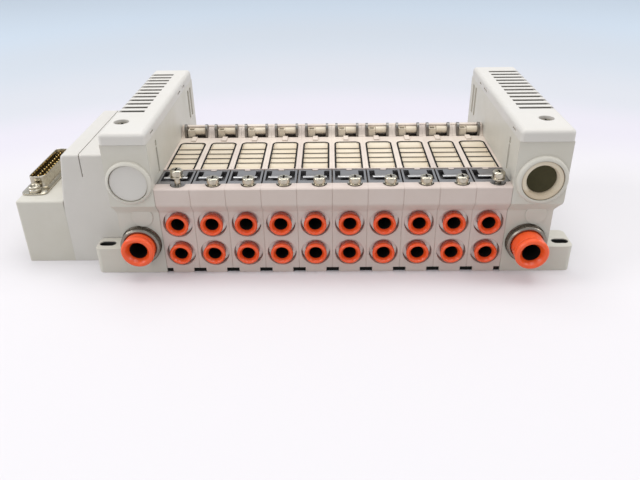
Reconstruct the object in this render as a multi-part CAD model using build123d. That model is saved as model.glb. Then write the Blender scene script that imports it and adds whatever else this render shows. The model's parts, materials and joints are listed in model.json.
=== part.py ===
from build123d import *
import os

# Ten-station plug-in pneumatic valve island with its valves taken off.
#
# The model is drawn from the middle of the front edge of the base: X runs along
# the row of stations, Y from the port face towards the rear and Z up. Every node
# is moved back by half the foot pattern when it is written, so that the written
# origin is the centre of the four foot slots, on the underside.
#
# All sizes are in millimetres.

# ---------------------------------------------------------------- row of stations
stations = 10
station_pitch = 16.0
station_depth = 69.0
seat_height = 46.0            # level that the valves sit on
upper_step = 3.8              # the upper front stands this far ahead of the ports
lip_low = 32.6                # the step begins here ...
lip_high = 37.2               # ... and ends here
lip_radius = 2.4
front_edge_drop = 0.9         # the flat upper front ends this far under the seat
front_bevel = 0.6
seam_chamfer = 0.22           # broken corners that show as the seams of the stack
foot_relief_height = 2.4      # arched gaps under the front edge, between stations
foot_relief_half = 3.0
foot_relief_depth = 9.0

# ---------------------------------------------------------------- push-in ports
upper_port_height = 26.2
lower_port_height = 10.8
port_bore_radius = 6.8
port_bore_depth = 19.0
cartridge_clearance = 0.2
cartridge_recess = 2.6        # the cartridge face lies this far inside the bore
tube_radius = 3.0
tube_clearance = 0.06
tube_stop_length = 2.2
guide_radius = 4.85           # bore of the cartridge that the collar slides in
guide_depth = 8.6
collar_clearance = 0.06
collar_flange_radius = 5.25
collar_flange_length = 1.7
collar_flange_round = 0.5
collar_neck_cone = 0.3
collar_mouth_flare = 0.55
collar_mouth_depth = 0.8
collar_stand_out = 2.4        # collar face ahead of the port face at rest
collar_sleeve_end = 9.6
collar_tip_length = 1.2
collar_tip_taper = 0.5
seal_length = 2.0
passage_radius = 2.1
passage_length = 9.0

# ---------------------------------------------------------------- valve seats
clamp_front = 1.4             # recess for the clamp, from here ...
clamp_rear = 17.9             # ... to here
clamp_recess = 3.6
seat_front = clamp_rear + 0.4
first_bar = 25.3              # middle line of the gasket's front bar
bar_pitch = 6.1
gasket_bars = 4
seat_rear = 53.4
gasket_half_width = 6.7
gasket_line = 0.9             # width of the gasket's outline and bars
gasket_height = 1.3
gasket_proud = 0.45
gasket_corner = 2.6
window_depth = 3.6
ledge_depth = 7.6             # ledge behind the gasket
ledge_rear = seat_rear + ledge_depth
rear_recess = 1.2
hook_room = 5.4               # gap between the ledge and the rear rail
rear_rail_front = ledge_rear + hook_room
rear_rail_rise = 4.6
key_width = 2.6               # small locating key on the rear ledge
key_height = 0.7
key_offset = -0.6
key_setback = 1.8

# ---------------------------------------------------------------- clamps and hooks
plate_drop = 0.3              # top of the plate under the seat level
plate_thickness = 1.0
plate_half_width = 7.65
plate_wall = 0.7              # upright walls and lower leaf of the folded plate
plate_end_gap = 0.2           # plate to the ends of its recess
plate_window_half = 6.7
plate_window_setback = 0.8    # window behind the screw's washer
plate_window_rear = 16.2
tongue_front = 6.9
tongue_half_width = 4.2
ridge_half_width = 5.4        # crossbar at the front end of the tongue
ridge_length = 2.0
tongue_rise = 1.0
tongue_slope = 5.0            # length over which the tongue rises
tongue_round = 0.45
tab_half_width = 1.3          # moulded tab in the notch at the plate's rear edge
tab_depth = 1.3
tab_gap = 0.15
tab_drop = 0.1                # top of the tab under the seat level
screw_offset = 2.2            # clamp screw beside the station's middle line
screw_y = 1.2
screw_pocket_radius = 3.5
first_screw_lift = 4.0        # the first and last screws are unscrewed a little
last_screw_lift = 2.0
screw_lift = {0: first_screw_lift, stations - 1: last_screw_lift}
screw_tip_gap = 1.2           # screw tip to the bore of the port under it
hook_half_gap = 4.9
hook_thickness = 1.2
hook_rise = 6.6               # top of the ears above the seat
hook_front = ledge_rear + 0.4
hook_rear = rear_rail_front - 0.6
hook_plate = 0.9
socket_left = -4.6            # the socket fills the left part of the bracket
socket_right = -0.8
socket_front = hook_front + 1.0
socket_rise = 3.6
socket_slot_depth = 3.0
socket_wall_x = 0.7
socket_wall_y = 0.75
contact_count = 2
contact_pitch = 1.1
contact_width = 0.45
contact_length = 1.0
contact_drop = 0.7            # contact tips under the top of the socket

# ---------------------------------------------------------------- pan-head screws
screw_head_radius = 2.85
screw_head_height = 2.3
screw_head_round = 0.9
screw_shank_radius = 1.45
screw_hole_clearance = 0.1
plain_washer_radius = 3.1     # washers held under the heads of the clamp screws
plain_washer_height = 0.5
spring_washer_radius = 2.5
spring_washer_height = 0.8
cover_screw_length = 9.6
recess_half_length = 1.7      # cross recess
recess_half_width = 0.42
recess_depth = 1.1

# ---------------------------------------------------------------- end blocks
block_depth = 101.5
cover_height = 72.2
cover_skirt = 5.4             # height of the cover above its seam
cover_proud = 0.6
cover_wall = 2.0
cover_upright_round = 1.8
cover_top_round = 2.0
chamber_front = 22.0
chamber_floor = 41.0
chamber_wall = 2.4
element_gap = 0.3
louvre_count = 12
louvre_first = 25.9
louvre_pitch = 5.85
louvre_width = 2.7
louvre_wrap = 3.0             # the louvres run this far down the outer side
cover_screw_y = 10.8
cover_pocket_radius = 3.4
cover_pocket_depth = 3.2
snap_notches = [(4.8, 9.6), (64.0, 70.5), (77.0, 81.5)]
snap_notch_depth = 0.7
snap_notch_rise = 1.6
snap_notch_height = 0.8
rib_setbacks = [15.0, 9.0]    # shallow grooves near the rear of the inner face
rib_width = 3.4
rib_depth = 0.8
clip_slot = (9.6, 12.2)       # upright slot near the front of the inner face
clip_slot_depth = 0.6
clip_slot_rise = 2.0          # the slot starts this far above the seat ...
clip_slot_drop = 6.8          # ... and ends this far under the cover's seam
latch_slot_height = 2.9       # short slot above it
latch_slot_gap = 0.6
exhaust_drop = 23.2           # exhaust port under the top of the covers
exhaust_passage_radius = 5.9
boss_front = 1.9              # boss face ahead of the upper front
boss_length = 12.0
boss_round = 1.7
insert_clearance = 0.12
insert_chamfer = 0.3
plug_setback = 0.9            # plug face inside the boss face
sleeve_setback = 0.6
sleeve_radius = 6.7           # bore of the open sleeve
sleeve_flare = 0.7
sleeve_flare_depth = 1.6
supply_height = 16.0
supply_bore_radius = 9.4
supply_bore_depth = 24.0
dimple_radius = 5.0
dimple_height = 30.2
dimple_proud = 0.35
side_round = 2.0
# Upper and lower width, exhaust boss, louvre inset and other places of each block.
blocks = {
    "left": {"side": -1, "top": 20.4, "low": 19.5, "boss_x": 10.3, "boss_r": 10.3,
             "insert_r": 8.75, "inset": 7.2, "screw_x": 13.9, "supply_x": 10.2,
             "dimple_x": 8.0, "supply_out": 9.2, "foot_depth": 11.3},
    "right": {"side": 1, "top": 23.4, "low": 20.8, "boss_x": 12.1, "boss_r": 11.4,
              "insert_r": 9.4, "inset": 6.4, "screw_x": 14.6, "supply_x": 10.2,
              "dimple_x": 13.2, "supply_out": 13.0, "foot_depth": 16.5},
}

# ---------------------------------------------------------------- supply ports
supply_tube_radius = 4.0
supply_ring_proud = 4.0
supply_ring_clearance = 0.15
supply_ring_chamfer = 0.7
supply_stop_length = 2.0
supply_counterbore_radius = 7.6
supply_counterbore_depth = 10.4
supply_guide_radius = 6.1
supply_guide_length = 11.0
supply_flange_radius = 7.7
supply_flange_length = 2.4
supply_flange_round = 0.7
supply_groove_radius = 6.8
supply_groove_length = 0.9
supply_body_radius = 7.4
supply_body_length = 14.0     # from the collar face to the end of its body
supply_sleeve_length = 22.0
supply_mouth_depth = 1.0

# ---------------------------------------------------------------- feet
slot_row_pitch = 80.0
slot_setback = 5.7            # front slots behind the front edge
slot_side_reach = 28.5        # slots beside the ends of the station row
slot_half_width = 2.25
slot_length = 8.0
foot_height = 13.0
foot_overhang = 4.8           # foot beyond the slot's centre line
foot_corner = 2.5

# ---------------------------------------------------------------- connector unit
unit_front = 11.6
unit_depth = 66.0
wiring_width = 28.4
wiring_height = 56.5
wiring_draft = 3.4
wiring_corner = 2.2
wiring_end_round = 1.2
socket_box_width = 23.1
socket_box_height = 33.0
socket_box_corner = 1.2
unit_wall = 2.2
split_line_x = 16.5           # split of the wiring cover from its inner side
split_line_width = 0.4
split_line_depth = 0.7
split_line_drop = 11.0
dsub_screw_pitch = 47.04
dsub_edge_margin = 0.2        # flange to the outer side of the housing
dsub_flange_length = 53.0
dsub_flange_width = 12.5
dsub_flange_thickness = 0.9
dsub_flange_corner = 2.0
dsub_shell_length = 38.96
dsub_shell_width = 8.36
dsub_shell_height = 5.9
dsub_shell_wall = 0.5
dsub_shell_corner = 1.9
dsub_shell_lean = 0.9         # each end of the narrow row is this much shorter
dsub_window_gap = 0.4
dsub_insert_gap = 0.05
dsub_insert_drop = 2.0        # insert below the housing's wall
dsub_long_row_count = 13
dsub_short_row_count = 12
dsub_pin_pitch = 2.77
dsub_row_pitch = 2.84
dsub_pin_radius = 0.5
dsub_pin_height = 4.6
dsub_pin_sides = 6
dsub_pin_drop = 1.4           # pin tips under the rim
jack_radius = 2.9
jack_height = 3.2
jack_bore_radius = 1.5
jack_bore_floor = 0.6
jack_stem_radius = 1.3
jack_stem_length = 5.0
jack_hole_gap = 0.15

# ---------------------------------------------------------------- tie rods
rod_radius = 2.0
rod_clearance = 0.15
rod_places = [(30.0, 7.0), (60.0, 26.0)]
rod_pocket_radius = 4.4
rod_pocket_depth = 4.0
nut_radius = 3.9
nut_height = 3.2

beyond = 1.0                  # cutters reach this far past the face they open
front_edge_height = seat_height - front_edge_drop
rear_rail_height = seat_height + rear_rail_rise
hook_height = seat_height + hook_rise
socket_height = seat_height + socket_rise
clamp_floor = seat_height - clamp_recess
plate_top = seat_height - plate_drop
plate_under = plate_top - plate_thickness
screw_tip_height = upper_port_height + port_bore_radius + screw_tip_gap
washer_stack = plain_washer_height + spring_washer_height
rear_floor = seat_height - rear_recess
screw_hole_radius = screw_shank_radius + screw_hole_clearance
plate_window_front = screw_y + plain_washer_radius + plate_window_setback
cover_seam_height = cover_height - cover_skirt
exhaust_height = cover_height - exhaust_drop
boss_face = -upper_step - boss_front
tube_bore = tube_radius + tube_clearance
supply_tube_bore = supply_tube_radius + tube_clearance
seal_front = cartridge_recess + guide_depth
stack_half = stations * station_pitch / 2
base_depth = slot_row_pitch + 2 * slot_setback
origin_y = base_depth / 2
slot_x = slot_side_reach      # measured from the end of the station row
station_centres = [-stack_half + station_pitch * (i + 0.5) for i in range(stations)]
port_heights = {"a": upper_port_height, "b": lower_port_height}
cartridge_radius = port_bore_radius - cartridge_clearance


def box(x0, x1, y0, y1, z0, z1):
    """A box between two corners."""
    size = (abs(x1 - x0), abs(y1 - y0), abs(z1 - z0))
    return Pos((x0 + x1) / 2, (y0 + y1) / 2, (z0 + z1) / 2) * Box(*size)


def rod_along_x(y, z, radius, x0, x1):
    """A cylinder along X."""
    return Pos((x0 + x1) / 2, y, z) * Rot(0, 90, 0) * Cylinder(radius, abs(x1 - x0))


def rod_along_y(x, z, radius, y0, y1):
    """A cylinder along Y."""
    return Pos(x, (y0 + y1) / 2, z) * Rot(90, 0, 0) * Cylinder(radius, abs(y1 - y0))


def rod_along_z(x, y, radius, z0, z1):
    """A cylinder along Z."""
    return Pos(x, y, (z0 + z1) / 2) * Cylinder(radius, abs(z1 - z0))


def turned_along_y(points):
    """A turned piece about Y from (radius, y) points."""
    profile = make_face(Polyline(*points, close=True))
    return revolve(profile, Axis.Y)


def side_profile(points, x0, x1, rounds=()):
    """(y, z) points extruded along X; rounds are (point index, radius)."""
    face = make_face(Plane.YZ * Polyline(*points, close=True))
    for index, radius in rounds:
        y, z = points[index]
        near = [v for v in face.vertices() if abs(v.Y - y) < 1e-6 and abs(v.Z - z) < 1e-6]
        face = fillet(near, radius)
    return Pos(x0, 0, 0) * extrude(face, amount=x1 - x0, dir=(1, 0, 0))


def front_profile(points, y0, y1, rounds=()):
    """(x, z) points extruded along Y; rounds are (point index, radius)."""
    face = make_face(Plane.XZ * Polyline(*points, close=True))
    for index, radius in rounds:
        x, z = points[index]
        near = [v for v in face.vertices() if abs(v.X - x) < 1e-6 and abs(v.Z - z) < 1e-6]
        face = fillet(near, radius)
    return Pos(0, y0, 0) * extrude(face, amount=y1 - y0, dir=(0, 1, 0))


def edges_where(shape, test):
    """The edges whose centre passes a test."""
    return [edge for edge in shape.edges() if test(edge.center())]


def write(name, *solids):
    """Write one node, moved to the centre of the foot slots."""
    placed = [Pos(0, -origin_y, 0) * solid for solid in solids]
    shape = placed[0] if len(placed) == 1 else Compound(children=placed)
    export_step(shape, f"parts/{name}.step")


# ================================================================ stations
def station_block():
    """One station: a moulded base with two ports, a valve seat and a rear rail."""
    half = station_pitch / 2
    profile = [
        (0, 0),
        (0, lip_low),
        (-upper_step, lip_high),
        (-upper_step, front_edge_height),
        (-upper_step + front_bevel, front_edge_height + front_bevel),
        (clamp_front, seat_height),
        (clamp_front, clamp_floor),
        (clamp_rear, clamp_floor),
        (clamp_rear, seat_height),
        (ledge_rear, seat_height),
        (ledge_rear, rear_floor),
        (rear_rail_front, rear_floor),
        (rear_rail_front, rear_rail_height),
        (station_depth, rear_rail_height),
        (station_depth, 0),
    ]
    block = side_profile(profile, -half, half, [(1, lip_radius), (2, lip_radius)])
    front_corners = edges_where(
        block,
        lambda c: abs(abs(c.X) - half) < 1e-6
        and abs(c.Y + upper_step) < 1e-6
        and lip_high < c.Z < front_edge_height,
    )
    block = chamfer(front_corners, seam_chamfer)
    for height in port_heights.values():
        block -= rod_along_y(0, height, port_bore_radius, -beyond, port_bore_depth)
        block -= rod_along_y(0, height, passage_radius, 0, port_bore_depth + passage_length)
    reach = gasket_half_width - gasket_line
    for low, high in seat_windows():
        block -= box(-reach, reach, low, high, seat_height - window_depth, seat_height + beyond)
    block -= gasket_solid(0)
    for side in (-1, 1):
        block -= box(side * half, side * (half - foot_relief_half),
                     -beyond, foot_relief_depth, -beyond, foot_relief_height)
    block -= rod_along_z(screw_offset, screw_y, screw_pocket_radius, plate_under, seat_height + beyond)
    block -= rod_along_z(screw_offset, screw_y, screw_hole_radius, screw_tip_height, seat_height)
    block += box(-tab_half_width, tab_half_width, clamp_rear - tab_depth, clamp_rear,
                 clamp_floor, seat_height - tab_drop)
    block += Pos(key_offset, 0, 0) * box(-key_width / 2, key_width / 2, seat_rear + key_setback,
                                         ledge_rear, seat_height, seat_height + key_height)
    for y, z in rod_places:
        block -= rod_along_x(y, z, rod_radius + rod_clearance, -half - beyond, half + beyond)
    return block


def seat_windows():
    """(front, rear) of each passage between the gasket's bars."""
    half = gasket_line / 2
    bars = [first_bar + bar_pitch * i for i in range(gasket_bars)]
    edges = [seat_front + half] + bars + [seat_rear - half]
    return [(low + half, high - half) for low, high in zip(edges, edges[1:])]


def gasket_solid(x):
    """A valve gasket: rounded outline and cross bars in one piece."""
    middle = (seat_front + seat_rear) / 2
    face = Pos(0, middle) * RectangleRounded(2 * gasket_half_width, seat_rear - seat_front,
                                             gasket_corner)
    inner_width = 2 * (gasket_half_width - gasket_line)
    windows = seat_windows()
    for low, high in windows:
        window = Pos(0, (low + high) / 2) * Rectangle(inner_width, high - low)
        if high == windows[-1][1]:
            rear = window.vertices().group_by(Axis.Y)[-1]
            window = fillet(rear, gasket_corner - gasket_line)
        face -= window
    bottom = seat_height - gasket_height + gasket_proud
    return Pos(x, 0, bottom) * extrude(face, gasket_height)


def clamp_plate(x):
    """Folded steel clamp plate: two leaves, a raised tongue and a lug for its screw."""
    half = plate_half_width
    front = clamp_front + plate_end_gap
    rear = clamp_rear - plate_end_gap
    plate = box(-half, half, front, rear, clamp_floor, plate_top)
    plate -= box(-half + plate_wall, half - plate_wall, front + plate_wall, rear - plate_wall,
                 clamp_floor + plate_wall, plate_under)
    plate -= box(-plate_window_half, plate_window_half, plate_window_front,
                 plate_window_rear, plate_under - plate_wall, plate_top + beyond)
    notch = tab_half_width + tab_gap
    plate -= box(-notch, notch, clamp_rear - tab_depth - tab_gap, rear + beyond,
                 clamp_floor - beyond, plate_top + beyond)
    plate += rod_along_z(screw_offset, screw_y, plain_washer_radius, plate_under, plate_top)
    bend = tongue_front + tongue_slope
    tongue = [
        (plate_window_rear, plate_under),
        (bend, plate_under),
        (tongue_front, plate_under + tongue_rise),
        (tongue_front, plate_top + tongue_rise),
        (bend, plate_top),
        (plate_window_rear, plate_top),
    ]
    plate += side_profile(tongue, -tongue_half_width, tongue_half_width, [(3, tongue_round)])
    ridge_rear = tongue_front + ridge_length
    ridge_rise = tongue_rise * (1 - ridge_length / tongue_slope)
    ridge = [
        (tongue_front, plate_under + tongue_rise),
        (tongue_front, plate_top + tongue_rise),
        (ridge_rear, plate_top + ridge_rise),
        (ridge_rear, plate_under + ridge_rise),
    ]
    plate += side_profile(ridge, -ridge_half_width, ridge_half_width, [(1, tongue_round)])
    plate -= rod_along_z(screw_offset, screw_y, screw_hole_radius, clamp_floor - beyond,
                         plate_top + beyond)
    return Pos(x, 0, 0) * plate


def pan_head_screw(length):
    """Cross-recess pan-head screw with the underside of its head at the origin."""
    head = rod_along_z(0, 0, screw_head_radius, 0, screw_head_height)
    head = fillet(head.faces().sort_by(Axis.Z)[-1].edges(), screw_head_round)
    arm = box(-recess_half_length, recess_half_length, -recess_half_width, recess_half_width,
              screw_head_height - recess_depth, screw_head_height + beyond)
    for angle in (0, 90):
        head -= Rot(0, 0, angle) * arm
    return head + rod_along_z(0, 0, screw_shank_radius, -length, 0)


def clamp_screw(x, lift):
    """Screw of a clamp with its two washers, on its plate or lifted off it."""
    length = plate_top - screw_tip_height
    screw = Pos(0, 0, washer_stack) * pan_head_screw(length + washer_stack)
    screw += rod_along_z(0, 0, plain_washer_radius, 0, plain_washer_height)
    screw += rod_along_z(0, 0, spring_washer_radius, plain_washer_height, washer_stack)
    return Pos(x + screw_offset, screw_y, plate_top + lift) * screw


def hook_bracket(x):
    """U-shaped steel bracket with two rounded ears that catches the valve's rear."""
    outer = hook_half_gap + hook_thickness
    bracket = box(-outer, outer, hook_front, hook_rear, rear_floor, rear_floor + hook_plate)
    middle = (hook_front + hook_rear) / 2
    crown = (hook_rear - hook_front) / 2
    for side in (-1, 1):
        ear = box(side * hook_half_gap, side * outer, hook_front, hook_rear,
                  rear_floor, hook_height - crown)
        ear += rod_along_x(middle, hook_height - crown, crown,
                           side * hook_half_gap, side * outer)
        bracket += ear
    return Pos(x, 0, 0) * bracket


def valve_socket(x):
    """Moulded electrical socket between the ears, with its contact slot."""
    base = rear_floor + hook_plate
    body = box(socket_left, socket_right, socket_front, rear_rail_front, base, socket_height)
    body -= box(socket_left + socket_wall_x, socket_right - socket_wall_x,
                socket_front + socket_wall_y, rear_rail_front - socket_wall_y,
                socket_height - socket_slot_depth, socket_height + beyond)
    return Pos(x, 0, 0) * body


def socket_contacts(x):
    """Flat pins standing in the slot of one valve socket."""
    middle_y = (socket_front + rear_rail_front) / 2
    middle_x = (socket_left + socket_right) / 2
    pins = []
    for i in range(contact_count):
        place = x + middle_x + contact_pitch * (i - (contact_count - 1) / 2)
        pins.append(box(place - contact_width / 2, place + contact_width / 2,
                        middle_y - contact_length / 2, middle_y + contact_length / 2,
                        socket_height - socket_slot_depth, socket_height - contact_drop))
    return pins


# ================================================================ push-in ports
def port_cartridge(x, z):
    """Sleeve pressed into a port: collar guide, seal seat and tube stop."""
    stop = port_bore_depth - tube_stop_length
    points = [
        (guide_radius, cartridge_recess),
        (cartridge_radius, cartridge_recess),
        (cartridge_radius, port_bore_depth),
        (passage_radius, port_bore_depth),
        (passage_radius, stop),
        (tube_bore, stop),
        (tube_bore, seal_front + seal_length),
        (guide_radius, seal_front + seal_length),
    ]
    return Pos(x, 0, z) * turned_along_y(points)


def port_seal(x, z):
    """Lip seal round the tube behind the collar."""
    points = [
        (tube_bore, seal_front),
        (guide_radius, seal_front),
        (guide_radius, seal_front + seal_length),
        (tube_bore, seal_front + seal_length),
    ]
    return Pos(x, 0, z) * turned_along_y(points)


def release_collar(x, z):
    """Release collar of a tube port: flange, sleeve and a flared mouth."""
    sleeve = guide_radius - collar_clearance
    front = -collar_stand_out
    neck = front + collar_flange_length
    points = [
        (tube_bore + collar_mouth_flare, front),
        (collar_flange_radius - collar_flange_round, front),
        (collar_flange_radius, front + collar_flange_round),
        (collar_flange_radius, neck),
        (sleeve, neck + collar_neck_cone),
        (sleeve, collar_sleeve_end - collar_tip_length),
        (sleeve - collar_tip_taper, collar_sleeve_end),
        (tube_bore, collar_sleeve_end),
        (tube_bore, front + collar_mouth_depth),
    ]
    return Pos(x, 0, z) * turned_along_y(points)


def supply_cartridge(x):
    """Steel sleeve of a supply port."""
    outer = supply_bore_radius - supply_ring_clearance
    passage = supply_tube_bore - supply_stop_length / 2
    front = -supply_ring_proud
    shoulder = front + supply_counterbore_depth
    guide_end = shoulder + supply_guide_length
    points = [
        (supply_counterbore_radius, front),
        (outer - supply_ring_chamfer, front),
        (outer, front + supply_ring_chamfer),
        (outer, supply_bore_depth),
        (passage, supply_bore_depth),
        (passage, supply_bore_depth - supply_stop_length),
        (supply_tube_bore, supply_bore_depth - supply_stop_length),
        (supply_tube_bore, guide_end),
        (supply_guide_radius, guide_end),
        (supply_guide_radius, shoulder),
        (supply_counterbore_radius, shoulder),
    ]
    return Pos(x, 0, supply_height) * turned_along_y(points)


def supply_collar(x, stand_out):
    """Large release collar: flange, groove, body and sleeve."""
    sleeve = supply_guide_radius - collar_clearance
    front = -stand_out
    groove = front + supply_flange_length
    body = groove + supply_groove_length
    points = [
        (supply_tube_bore + supply_flange_round, front),
        (supply_flange_radius - supply_flange_round, front),
        (supply_flange_radius, front + supply_flange_round),
        (supply_flange_radius, groove),
        (supply_groove_radius, groove),
        (supply_groove_radius, body),
        (supply_body_radius, body),
        (supply_body_radius, front + supply_body_length),
        (sleeve, front + supply_body_length),
        (sleeve, front + supply_sleeve_length),
        (supply_tube_bore, front + supply_sleeve_length),
        (supply_tube_bore, front + supply_mouth_depth),
    ]
    return Pos(x, 0, supply_height) * turned_along_y(points)


# ================================================================ end blocks
def end_block(spec):
    """End block with supply port, exhaust boss and silencer chamber (+X side)."""
    top, low = spec["top"], spec["low"]
    widest = max(top, low)
    outline = [
        (0, 0),
        (low, 0),
        (low, lip_low),
        (top, lip_high + beyond),
        (top, cover_seam_height),
        (0, cover_seam_height),
    ]
    block = front_profile(outline, -upper_step, block_depth, [(2, side_round), (3, side_round)])
    front_cut = [
        (boss_face, -beyond),
        (0, -beyond),
        (0, lip_low),
        (-upper_step, lip_high),
        (boss_face, lip_high),
    ]
    block -= side_profile(front_cut, -beyond, widest + beyond, [(2, lip_radius)])
    block -= box(-beyond, widest + beyond, base_depth, block_depth + beyond, -beyond, foot_height)
    boss_end = boss_face + boss_length
    boss = rod_along_y(spec["boss_x"], exhaust_height, spec["boss_r"], boss_face, boss_end)
    block += fillet(boss.faces().sort_by(Axis.Y)[0].edges(), boss_round)
    block += rod_along_y(spec["dimple_x"], dimple_height, dimple_radius, -dimple_proud, beyond)
    block -= box(chamber_wall, top - chamber_wall, chamber_front,
                 block_depth - chamber_wall, chamber_floor, cover_seam_height + beyond)
    block -= rod_along_y(spec["boss_x"], exhaust_height, spec["insert_r"],
                         boss_face - beyond, boss_end)
    block -= rod_along_y(spec["boss_x"], exhaust_height, exhaust_passage_radius,
                         0, chamber_front + beyond)
    block -= rod_along_y(spec["supply_x"], supply_height, supply_bore_radius,
                         -beyond, supply_bore_depth)
    block -= rod_along_z(spec["screw_x"], cover_screw_y, screw_hole_radius,
                         cover_seam_height - cover_screw_length, cover_seam_height + beyond)
    for y, z in rod_places:
        block -= rod_along_x(y, z, rod_radius + rod_clearance, -beyond, low + beyond)
        block -= rod_along_x(y, z, rod_pocket_radius, low - rod_pocket_depth, low + beyond)
    for setback in rib_setbacks:
        y = block_depth - setback
        block -= box(-beyond, rib_depth, y, y + rib_width,
                     seat_height + 2 * beyond, cover_seam_height - 3 * beyond)
    clip_top = cover_seam_height - clip_slot_drop
    latch_bottom = clip_top + latch_slot_gap
    block -= box(-beyond, clip_slot_depth, *clip_slot, seat_height + clip_slot_rise, clip_top)
    block -= box(-beyond, clip_slot_depth, *clip_slot,
                 latch_bottom, latch_bottom + latch_slot_height)
    return block


def foot(spec, front, slot_y):
    """One slotted foot of an end block (+X side)."""
    reach = slot_x + foot_overhang
    piece = box(spec["low"], reach, front, front + spec["foot_depth"], 0, foot_height)
    corners = edges_where(
        piece, lambda c: abs(c.X - reach) < 1e-6 and abs(c.Z - foot_height / 2) < 1e-6
    )
    piece = fillet(corners, foot_corner)
    slot = SlotOverall(slot_length, 2 * slot_half_width)
    return piece - Pos(slot_x, slot_y, -beyond) * extrude(slot, foot_height + 2 * beyond)


def feet(spec):
    """The front and rear foot of one end block."""
    rear = base_depth - spec["foot_depth"]
    return [foot(spec, 0, slot_setback), foot(spec, rear, base_depth - slot_setback)]


def silencer_cover(spec):
    """Louvred cap of an end block (+X side)."""
    top = spec["top"]
    front = -upper_step - cover_proud
    cover = box(0, top, front, block_depth, cover_seam_height, cover_height)
    cover = fillet(cover.edges().filter_by(Axis.Z), cover_upright_round)
    cover = fillet(cover.faces().sort_by(Axis.Z)[-1].edges(), cover_top_round)
    cover -= box(chamber_wall, top - chamber_wall, chamber_front, block_depth - chamber_wall,
                 cover_seam_height - beyond, cover_height - cover_wall)
    for i in range(louvre_count):
        y = louvre_first + louvre_pitch * i
        cover -= box(spec["inset"], top + beyond, y - louvre_width / 2, y + louvre_width / 2,
                     cover_height - louvre_wrap, cover_height + beyond)
    cover -= rod_along_z(spec["screw_x"], cover_screw_y, cover_pocket_radius,
                         cover_height - cover_pocket_depth, cover_height + beyond)
    cover -= rod_along_z(spec["screw_x"], cover_screw_y, screw_hole_radius,
                         cover_seam_height - beyond, cover_height)
    notch = cover_seam_height + snap_notch_rise
    for y0, y1 in snap_notches:
        cover -= box(-beyond, snap_notch_depth, y0, y1, notch, notch + snap_notch_height)
    return cover


def silencer_element(spec):
    """Porous silencer block that fills the chamber."""
    inset = chamber_wall + element_gap
    return box(inset, spec["top"] - inset, chamber_front + element_gap,
               block_depth - inset, chamber_floor, cover_height - cover_wall)


def cover_screw(spec):
    """Pan-head screw that holds a cover."""
    seat = cover_height - cover_pocket_depth
    return Pos(spec["screw_x"], cover_screw_y, seat) * pan_head_screw(cover_screw_length)


def exhaust_plug(spec):
    """Blank plug that closes an unused exhaust port."""
    radius = spec["insert_r"] - insert_clearance
    plug = rod_along_y(0, 0, radius, boss_face + plug_setback, boss_face + boss_length)
    plug = chamfer(plug.faces().sort_by(Axis.Y)[0].edges(), insert_chamfer)
    return Pos(spec["boss_x"], 0, exhaust_height) * plug


def exhaust_sleeve(spec):
    """Open sleeve that lines the exhaust port in use."""
    face = boss_face + sleeve_setback
    radius = spec["insert_r"] - insert_clearance
    points = [
        (sleeve_radius + sleeve_flare, face),
        (radius - insert_chamfer, face),
        (radius, face + insert_chamfer),
        (radius, boss_face + boss_length),
        (sleeve_radius, boss_face + boss_length),
        (sleeve_radius, face + sleeve_flare_depth),
    ]
    return Pos(spec["boss_x"], 0, exhaust_height) * turned_along_y(points)


def on_side(spec, shape):
    """Place a piece drawn for the +X side at its own end of the row."""
    placed = Pos(stack_half, 0, 0) * shape
    return placed if spec["side"] > 0 else mirror(placed, Plane.YZ)


# ================================================================ connector unit
unit_inner_x = -(stack_half + max(blocks["left"]["top"], blocks["left"]["low"]))
wiring_outer_x = unit_inner_x - wiring_width
socket_outer_x = wiring_outer_x - socket_box_width
unit_rear = unit_front + unit_depth
dsub_x = socket_outer_x + dsub_edge_margin + dsub_flange_width / 2
dsub_y = unit_front + unit_depth / 2
dsub_rim_height = dsub_flange_thickness + dsub_shell_height
dsub_floor = socket_box_height + dsub_rim_height - dsub_pin_drop - dsub_pin_height
jack_places = [dsub_y + side * dsub_screw_pitch / 2 for side in (-1, 1)]


def wiring_cover():
    """Tall cover over the wiring, with the split line of its two halves."""
    outline = [
        (unit_inner_x, 0),
        (unit_inner_x, wiring_height),
        (wiring_outer_x + wiring_draft, wiring_height),
        (wiring_outer_x, socket_box_height),
        (wiring_outer_x, 0),
    ]
    cover = front_profile(outline, unit_front, unit_rear, [(2, wiring_corner)])
    ends = edges_where(
        cover,
        lambda c: (abs(c.Y - unit_front) < 1e-6 or abs(c.Y - unit_rear) < 1e-6)
        and c.Z > socket_box_height + beyond
        and c.X < unit_inner_x - beyond,
    )
    cover = fillet(ends, wiring_end_round)
    cover -= box(unit_inner_x - unit_wall, wiring_outer_x + unit_wall + wiring_draft,
                 unit_front + unit_wall, unit_rear - unit_wall, -beyond, wiring_height - unit_wall)
    line_x = unit_inner_x - split_line_x
    cover -= box(line_x, line_x + split_line_width, unit_front - beyond, unit_rear + beyond,
                 wiring_height - split_line_depth, wiring_height + beyond)
    cover -= box(line_x, line_x + split_line_width, unit_front - beyond,
                 unit_front + split_line_depth, wiring_height - split_line_drop, wiring_height)
    return cover


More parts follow.
